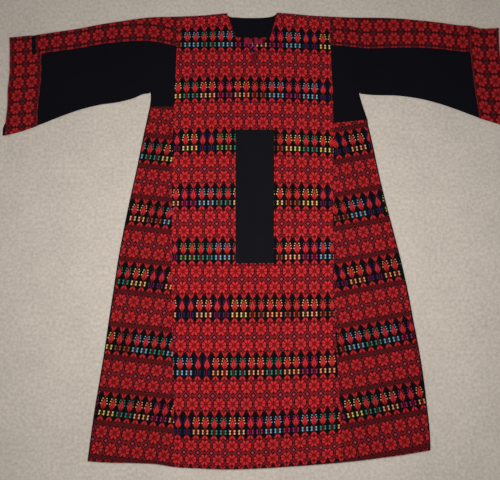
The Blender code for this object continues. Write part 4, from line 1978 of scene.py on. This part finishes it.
        row = np.arange(rows)[:, None]
        column = np.arange(columns)[None, :]
        beside_reach = (column == reach_column) & (np.abs(row - seam_row) <= self.underarm_rows)
        over_gores = (column < reach_column) & (row == seam_row)
        in_band = (row >= rows - self.band_rows) | (row < fold_rows + self.band_rows)
        on_cuff = [s[1] if s[0] is Ground.CUFF else -1.0 for s in self.sections[:-1]]
        on_cuff = np.array(on_cuff)[None, :]
        band_end, cuff_start = self.notch if self.notched else (0.0, 0.0)
        band = in_band & (on_cuff < band_end - HAIR)
        cuff = (on_cuff >= 0.0) & (~in_band | (on_cuff > cuff_start - HAIR))

        outward = self.outward(outer)
        under = outer + outward * self.cloth.strip_gap
        over = outer + outward * self.cloth.stack
        centre = outer[0]
        along = np.hypot(*np.diff(centre[:, :2], axis=0).T)
        along = np.concatenate([[0.0], np.cumsum(along)])
        wide, long = self.crosses
        across = np.broadcast_to(self.band_columns.count(along, wide), away.shape)
        down = self.band_lines.count(fronts[None, :] - away, long)
        band_stitches = np.stack([across, down], axis=-1)
        inner_edge = self.cuff_lines["inner"].at(outer[..., 1])
        across = self.cuff_columns.count(np.abs(outer[..., 0] - inner_edge), wide)
        cuff_stitches = np.stack([across, self.cuff_rows.count(away, long)], axis=-1)
        plain = np.zeros((*away.shape, 2))
        walls = {
            f"sleeve_{side}": Wall(
                f"sleeve_{side}_cloth", outer, inner, ~(beside_reach | over_gores), plain
            ),
            f"shoulder_band_{side}": Wall(
                f"shoulder_band_{side}_cloth", over, under, band, band_stitches
            ),
            f"cuff_band_{side}": Wall(f"cuff_band_{side}_cloth", over, under, cuff, cuff_stitches),
        }
        self.walls = walls
        self.cuff_column, self.seam_row = cuff_column, seam_row
        return walls

    def edge_lines(self) -> list[np.ndarray]:
        """Lists the lines of stitches along the strips' edges on the upper layer.

        Returns:
            The lines: the cuff's inner and outer edge, and the band's lower one.
        """
        strip = self.walls[f"cuff_band_{self.side.value}"].outer
        band = self.walls[f"shoulder_band_{self.side.value}"]
        band_row = len(strip) - self.band_rows
        inset = np.array([self.side.inward * self.edging_inset, 0.0, 0.0])
        low_column = int(np.flatnonzero(band.cells.any(axis=0))[-1])
        top_row = band_row + 1 if self.notched else len(strip)
        inner = strip[self.seam_row + 1 : top_row, self.cuff_column] - inset
        outer = strip[self.seam_row + 1 :, -1] + inset
        lower = strip[band_row, 1 : low_column + 1] + (0.0, self.edging_inset, 0.0)
        return [inner, outer, lower]

    def outward(self, points: np.ndarray) -> np.ndarray:
        """Finds the directions out of the sleeve.

        Args:
            points: the sleeve's ring of rows.

        Returns:
            The direction at each of them.
        """
        around = np.roll(points, -1, axis=0) - np.roll(points, 1, axis=0)
        along = np.gradient(points, axis=1)
        found = np.cross(around, along) * self.side.inward
        return found / np.linalg.norm(found, axis=2, keepdims=True)


def left_sleeve(cloth: Cloth, body: Body) -> Sleeve:
    """Cuts out the left sleeve, whose band has slid over the fold and left a notch.

    Args:
        cloth: what the cloth measures.
        body: the body that it is sewn to.

    Returns:
        The sleeve with its sizes.
    """
    return Sleeve(
        side=Side.LEFT,
        cloth=cloth,
        body=body,
        fold=table(
            EdgeRow,
            (-245, 690.5), (-337, 687.5), (-368, 684.0), (-432, 674.0), (-495, 664.0),
            (-559, 650.5), (-622, 640.5), (-685, 630.5), (-790, 619.5),
        ),
        under=table(
            EdgeRow,
            (-328, 437.0), (-354, 433.0), (-378, 422.0), (-425, 408.5), (-487, 399.0),
            (-550, 382.5), (-611, 360.0), (-673, 334.0), (-734, 311.5), (-790, 297.0),
        ),
        reach=table(EdgeRow, (-330.5, 392), (-328.0, 414), (-328.5, 437), (-330.0, 700)),
        cuff=table(
            CuffRow,
            (290, -678.0, -779.0, -786.5), (306, -678.0, -778.0, -786.5),
            (324, -678.5, -777.0, -786.0), (345, -679.5, -777.5, -778.5),
            (392, -680.0, -775.0, -775.0), (448, -676.0, -776.5, -776.5),
            (497, -674.0, -773.5, -773.5), (547, -676.0, -775.0, -775.0),
            (630, -680.0, -779.5, -779.5),
        ),
        band=table(
            BandRow,
            (-700, 61.0), (-557, 63.0), (-414, 67.0),
            (-335, 76.0), (-287, 86.0), (-247, 96.0),
        ),
        corner=437.0,
        first_section=-332.5,
        last_section=-668.0,
        notched=True,
        cuff_columns=Spacing(28.0, 41.0),
        cuff_rows=Spacing(33.0, 41.0),
        band_columns=Spacing(30.0, 44.5),
        band_lines=Spacing(26.0, 43.0),
        cuts={
            "sleeve": Cut(0.66, 0.54, 0.296),
            "shoulder_band": Cut(0.18, 0.46, 0.0828),
            "cuff_band": Cut(0.10, 0.63, 0.0575),
        },
    )


def right_sleeve(cloth: Cloth, body: Body) -> Sleeve:
    """Cuts out the right sleeve, whose band and cuff meet.

    Args:
        cloth: what the cloth measures.
        body: the body that it is sewn to.

    Returns:
        The sleeve with its sizes.
    """
    return Sleeve(
        side=Side.RIGHT,
        cloth=cloth,
        body=body,
        fold=table(
            EdgeRow,
            (235, 690.5), (301, 687.5), (365, 687.0), (461, 683.5), (525, 677.5),
            (588, 670.0), (651, 661.5), (684, 659.5), (715, 651.0), (735, 650.5),
            (790, 654.0),
        ),
        under=table(
            EdgeRow,
            (320, 436.0), (359, 431.5), (453, 428.0), (516, 418.5), (578, 402.0),
            (640, 379.5), (671, 367.0), (738, 344.0), (790, 326.5),
        ),
        reach=table(
            EdgeRow,
            (349.5, 350), (345.0, 366), (336.5, 392),
            (330.5, 415), (325.0, 435), (322.0, 700),
        ),
        cuff=table(
            CuffRow,
            (326, 702.0, 787.0, 787.0), (364, 698.0, 785.5, 785.5),
            (448, 688.0, 779.5, 779.5), (514, 683.0, 775.0, 775.0),
            (578, 679.0, 772.0, 772.0), (660, 680.0, 773.0, 773.0),
        ),
        band=table(
            BandRow,
            (238, 91.0), (300, 94.0), (347, 99.0),
            (436, 95.0), (553, 86.0), (690, 84.0),
        ),
        corner=435.0,
        first_section=329.0,
        last_section=672.0,
        notched=False,
        cuff_columns=Spacing(23.0, 45.0),
        cuff_rows=Spacing(44.0, 44.2),
        band_columns=Spacing(26.6, 43.7),
        band_lines=Spacing(24.0, 44.5),
        cuts={
            "sleeve": Cut(0.66, 0.55, 0.307),
            "shoulder_band": Cut(0.18, 0.46, 0.0828),
            "cuff_band": Cut(0.092, 0.63, 0.058),
        },
    )


@dataclass
class StitchRow:
    """Rows of short slanting hand stitches along lines on the cloth.

    Attributes:
        slant: a stitch's angle to the line.
        lift: how high its middle lies, for its thickness, and bend how much lower its ends.
        probe: how far before and after a stitch the line's way is read.
        profile: the places of its rings, from -1 to 1, and how thick each is.
    """

    name: str
    pitch: float = 2.3
    length: float = 3.4
    thick: float = 1.3
    slant: float = 38.0
    lift: float = 0.35
    bend: float = 0.25
    flatness: float = 0.7
    probe: float = 1.0
    sides: int = 6
    profile: tuple[tuple[float, float], ...] = ((-1.0, 0.2), (-0.6, 0.9), (0.6, 0.9), (1.0, 0.2))
    points: list[np.ndarray] = field(default_factory=list)

    def along(self, line: np.ndarray, up: Sequence[float] = UP) -> "StitchRow":
        """Sews along one line.

        Args:
            line: its points, in millimetres.
            up: the way off the cloth.

        Returns:
            The same row, for more lines.
        """
        steps = np.linalg.norm(np.diff(line, axis=0), axis=1)
        run = np.concatenate([[0.0], np.cumsum(steps)])
        places = np.arange(self.pitch / 2, run[-1], self.pitch)
        spots, ahead, behind = (
            np.stack([np.interp(places + shift, run, line[:, k]) for k in range(3)], axis=1)
            for shift in (0.0, self.probe, -self.probe)
        )
        forward = ahead - behind
        forward /= np.linalg.norm(forward, axis=1, keepdims=True)
        aside = np.cross(np.array(up), forward)
        aside /= np.linalg.norm(aside, axis=1, keepdims=True)
        rise = np.cross(forward, aside)
        turn = math.radians(self.slant)
        way = forward * math.cos(turn) + aside * math.sin(turn)
        wide = np.cross(rise, way)
        rings = []
        for step, size in self.profile:
            centre = spots + way * step * self.length / 2
            centre = centre + rise * self.thick * (self.lift - self.bend * step * step)
            for corner in range(self.sides):
                angle = 2 * math.pi * corner / self.sides
                half = size * self.thick / 2
                up_part = rise * half * self.flatness * math.sin(angle)
                rings.append(centre + wide * half * math.cos(angle) + up_part)
        self.points.append(np.stack(rings, axis=1))
        return self

    def build(self, finish: bpy.types.Material) -> bpy.types.Object:
        """Makes the mesh of all the rows.

        Args:
            finish: the thread's finish.

        Returns:
            The new piece, in the scene.
        """
        points = np.concatenate(self.points)
        rings, sides = len(self.profile), self.sides
        faces = []
        for ring in range(rings - 1):
            for k in range(sides):
                after = (k + 1) % sides
                base = ring * sides
                faces.append([base + k, base + after, base + sides + after, base + sides + k])
        each = np.array(faces)
        start = np.arange(len(points))[:, None, None] * rings * sides
        quads = (each[None] + start).reshape(-1, 4)
        ends = [list(range(sides))[::-1], list(range((rings - 1) * sides, rings * sides))]
        caps = (np.array(ends)[None] + start).reshape(-1, sides)
        mesh = bpy.data.meshes.new(self.name)
        spots = np.maximum(points.reshape(-1, 3) * MM, (-1.0, -1.0, 0.0))
        mesh.from_pydata(spots, [], [*quads.tolist(), *caps.tolist()])
        mesh.shade_smooth()
        mesh.materials.append(finish)
        piece = bpy.data.objects.new(self.name, mesh)
        bpy.context.scene.collection.objects.link(piece)
        return piece


@dataclass
class Studio:
    """The floor, the lights and the camera, in metres.

    Attributes:
        tilt: how far the camera looks off straight down, in degrees.
        distance: how far it is from target, the place on the floor that it looks at.
    """

    lens: float = 54.32
    sensor: float = 36.0
    tilt: float = 8.6
    distance: float = 2.3
    target: tuple[float, float] = (-0.017, -0.029)
    floor_size: float = 9.0
    floor_gap: float = 0.0006
    key_place: tuple[float, float, float] = (-0.03, -0.12, 1.28)
    key_size: float = 0.9
    key_power: float = 15.3
    key_colour: tuple[float, float, float] = (1.0, 0.97, 0.93)
    sky: float = 0.225
    sky_colour: tuple[float, float, float, float] = (1.0, 0.985, 0.965, 1.0)

    def build(self) -> None:
        """Sets up the floor, the lights and the camera."""
        self.build_floor()
        self.build_lights()
        self.build_camera()

    def build_floor(self) -> None:
        """Lays the floor just under the dress."""
        half = self.floor_size / 2
        corners = [(-half, -half), (half, -half), (half, half), (-half, half)]
        mesh = bpy.data.meshes.new("floor")
        mesh.from_pydata([(x, y, -self.floor_gap) for x, y in corners], [], [(0, 1, 2, 3)])
        mesh.materials.append(PaleFloor().make())
        floor = bpy.data.objects.new("floor", mesh)
        bpy.context.scene.collection.objects.link(floor)

    def build_lights(self) -> None:
        """Hangs one soft light over the dress, in an even sky."""
        world = bpy.data.worlds.new("sky")
        world.use_nodes = True
        background = world.node_tree.nodes["Background"]
        background.inputs[0].default_value = self.sky_colour
        background.inputs[1].default_value = self.sky
        bpy.context.scene.world = world
        light = bpy.data.lights.new("soft_light", "AREA")
        light.shape = "DISK"
        light.size = self.key_size
        light.energy = self.key_power
        light.color = self.key_colour
        lamp = bpy.data.objects.new("soft_light", light)
        lamp.location = self.key_place
        lamp.visible_camera = False
        bpy.context.scene.collection.objects.link(lamp)

    def build_camera(self) -> None:
        """Looks down at the dress, a little from the hem's side."""
        lens = bpy.data.cameras.new("camera")
        lens.lens = self.lens
        lens.sensor_width = self.sensor
        camera = bpy.data.objects.new("camera", lens)
        tilt = math.radians(self.tilt)
        x, y = self.target
        away = self.distance
        camera.location = (x, y - away * math.sin(tilt), away * math.cos(tilt))
        camera.rotation_euler = (tilt, 0.0, 0.0)
        bpy.context.scene.collection.objects.link(camera)
        bpy.context.scene.camera = camera
        bpy.context.scene.view_settings.view_transform = "Standard"


@dataclass
class Dressmaker:
    """Sews the dress: builds each piece, dresses it and fits it to the frame.

    Attributes:
        cloth: what the cloth measures.
        inset_colour: the let-in cotton, a little paler than the sleeves'.
        shades: how bright each kind of cross stitch is.
        colours: the single threads' colours.
    """

    cloth: Cloth = field(default_factory=Cloth)
    inset_colour: Colour = (19, 19, 25)
    shades: dict[Repeat, float] = field(
        default_factory=lambda: {Repeat.PANEL: 0.90, Repeat.GORE: 0.72, Repeat.STRIP: 0.64}
    )
    colours: dict[str, Colour] = field(
        default_factory=lambda: {
            "edging": (134, 30, 46),
            "hem": (84, 10, 18),
            "magenta": (150, 24, 58),
            "purple": (136, 34, 122),
            "navy": (20, 24, 52),
            "wine": (106, 12, 24),
            "black": (14, 13, 18),
        }
    )

    def __post_init__(self) -> None:
        """Cuts the patterns and mixes the finishes."""
        self.body = Body(self.cloth)
        self.sleeves = [left_sleeve(self.cloth, self.body), right_sleeve(self.cloth, self.body)]
        self.black = Cotton().make()
        self.inset_black = Cotton("inset_cotton", self.inset_colour).make()
        self.works = {
            repeat: CrossStitch(f"cross_stitch_{repeat.value}", repeat, bright=shade).make()
            for repeat, shade in self.shades.items()
        }
        self.threads = {
            name: Floss(f"{name}_thread", colour).make()
            for name, colour in self.colours.items()
        }

    def fit(
        self, piece: bpy.types.Object, nodes: Sequence[str] = ()
    ) -> bpy.types.Object:
        """Fits a piece to the frame.

        Args:
            piece: the new piece.
            nodes: the plain solids that it stands for.

        Returns:
            The same piece.
        """
        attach(piece, BODY)
        if nodes:
            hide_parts(*nodes)
        log.info("%s: %d faces", piece.name, len(piece.data.polygons))
        return piece

    def lay(
        self, piece: bpy.types.Object
    ) -> None:
        """Fits a cloth in its solid's place.

        Args:
            piece: the new cloth, named for its solid.
        """
        self.fit(piece, [piece.name.removesuffix("_cloth")])

    def sew_body(self) -> None:
        """Builds the panels, the inset and the gores."""
        panel, inset = self.body.build_front()
        work = self.works[Repeat.PANEL]
        front = panel.build(work, self.black)
        self.lay(front)
        let_in = inset.build(self.inset_black, self.black)
        self.lay(let_in)
        back = self.body.build_back().build(work, self.black)
        self.lay(back)
        for side in Side:
            for layer in Layer:
                gore = self.body.build_gore(side, layer)
                gore = gore.build(self.works[Repeat.GORE], self.black)
                self.lay(gore)

    def sew_sleeves(self) -> None:
        """Builds the sleeves and their strips."""
        for sleeve in self.sleeves:
            side = sleeve.side.value
            walls = sleeve.build()
            plain = walls[f"sleeve_{side}"].build(self.black, self.black)
            self.lay(plain)
            for name in ("shoulder_band", "cuff_band"):
                strip = walls[f"{name}_{side}"].build(self.works[Repeat.STRIP], self.black)
                self.lay(strip)

    def sew_lines(self) -> None:
        """Sews the threads along the strips, the neckline and the hem, and at the slit."""
        edging = StitchRow("strip_edging")
        for sleeve in self.sleeves:
            for line in sleeve.edge_lines():
                edging.along(line)
        self.fit(edging.build(self.threads["edging"]))
        hem = StitchRow("hem_stitches", pitch=3.2, length=4.6, thick=1.6, slant=12.0)
        hem.along(self.body.hem_stitches())
        self.fit(hem.build(self.threads["hem"]))
        neck = StitchRow("neck_stitches", pitch=2.0, length=3.6, slant=60.0)
        for line in self.body.neck_lines():
            neck.along(line)
        self.fit(neck.build(self.threads["wine"]))
        for satin in self.body.slit_satins:
            row = StitchRow(
                satin.name, pitch=1.3, length=satin.length, thick=satin.thick, slant=90.0
            )
            ends = np.array([(satin.x0, satin.y0), (satin.x1, satin.y1)])
            row.along(self.body.on_top(ends))
            self.fit(row.build(self.threads[satin.thread]))


def main() -> None:
    """Builds the dress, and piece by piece."""
    logging.basicConfig(level=logging.INFO, format="%(name)s %(message)s")
    Studio().build()
    maker = Dressmaker()
    maker.sew_body()
    maker.sew_sleeves()
    maker.sew_lines()


if __name__ == "__main__":
    main()
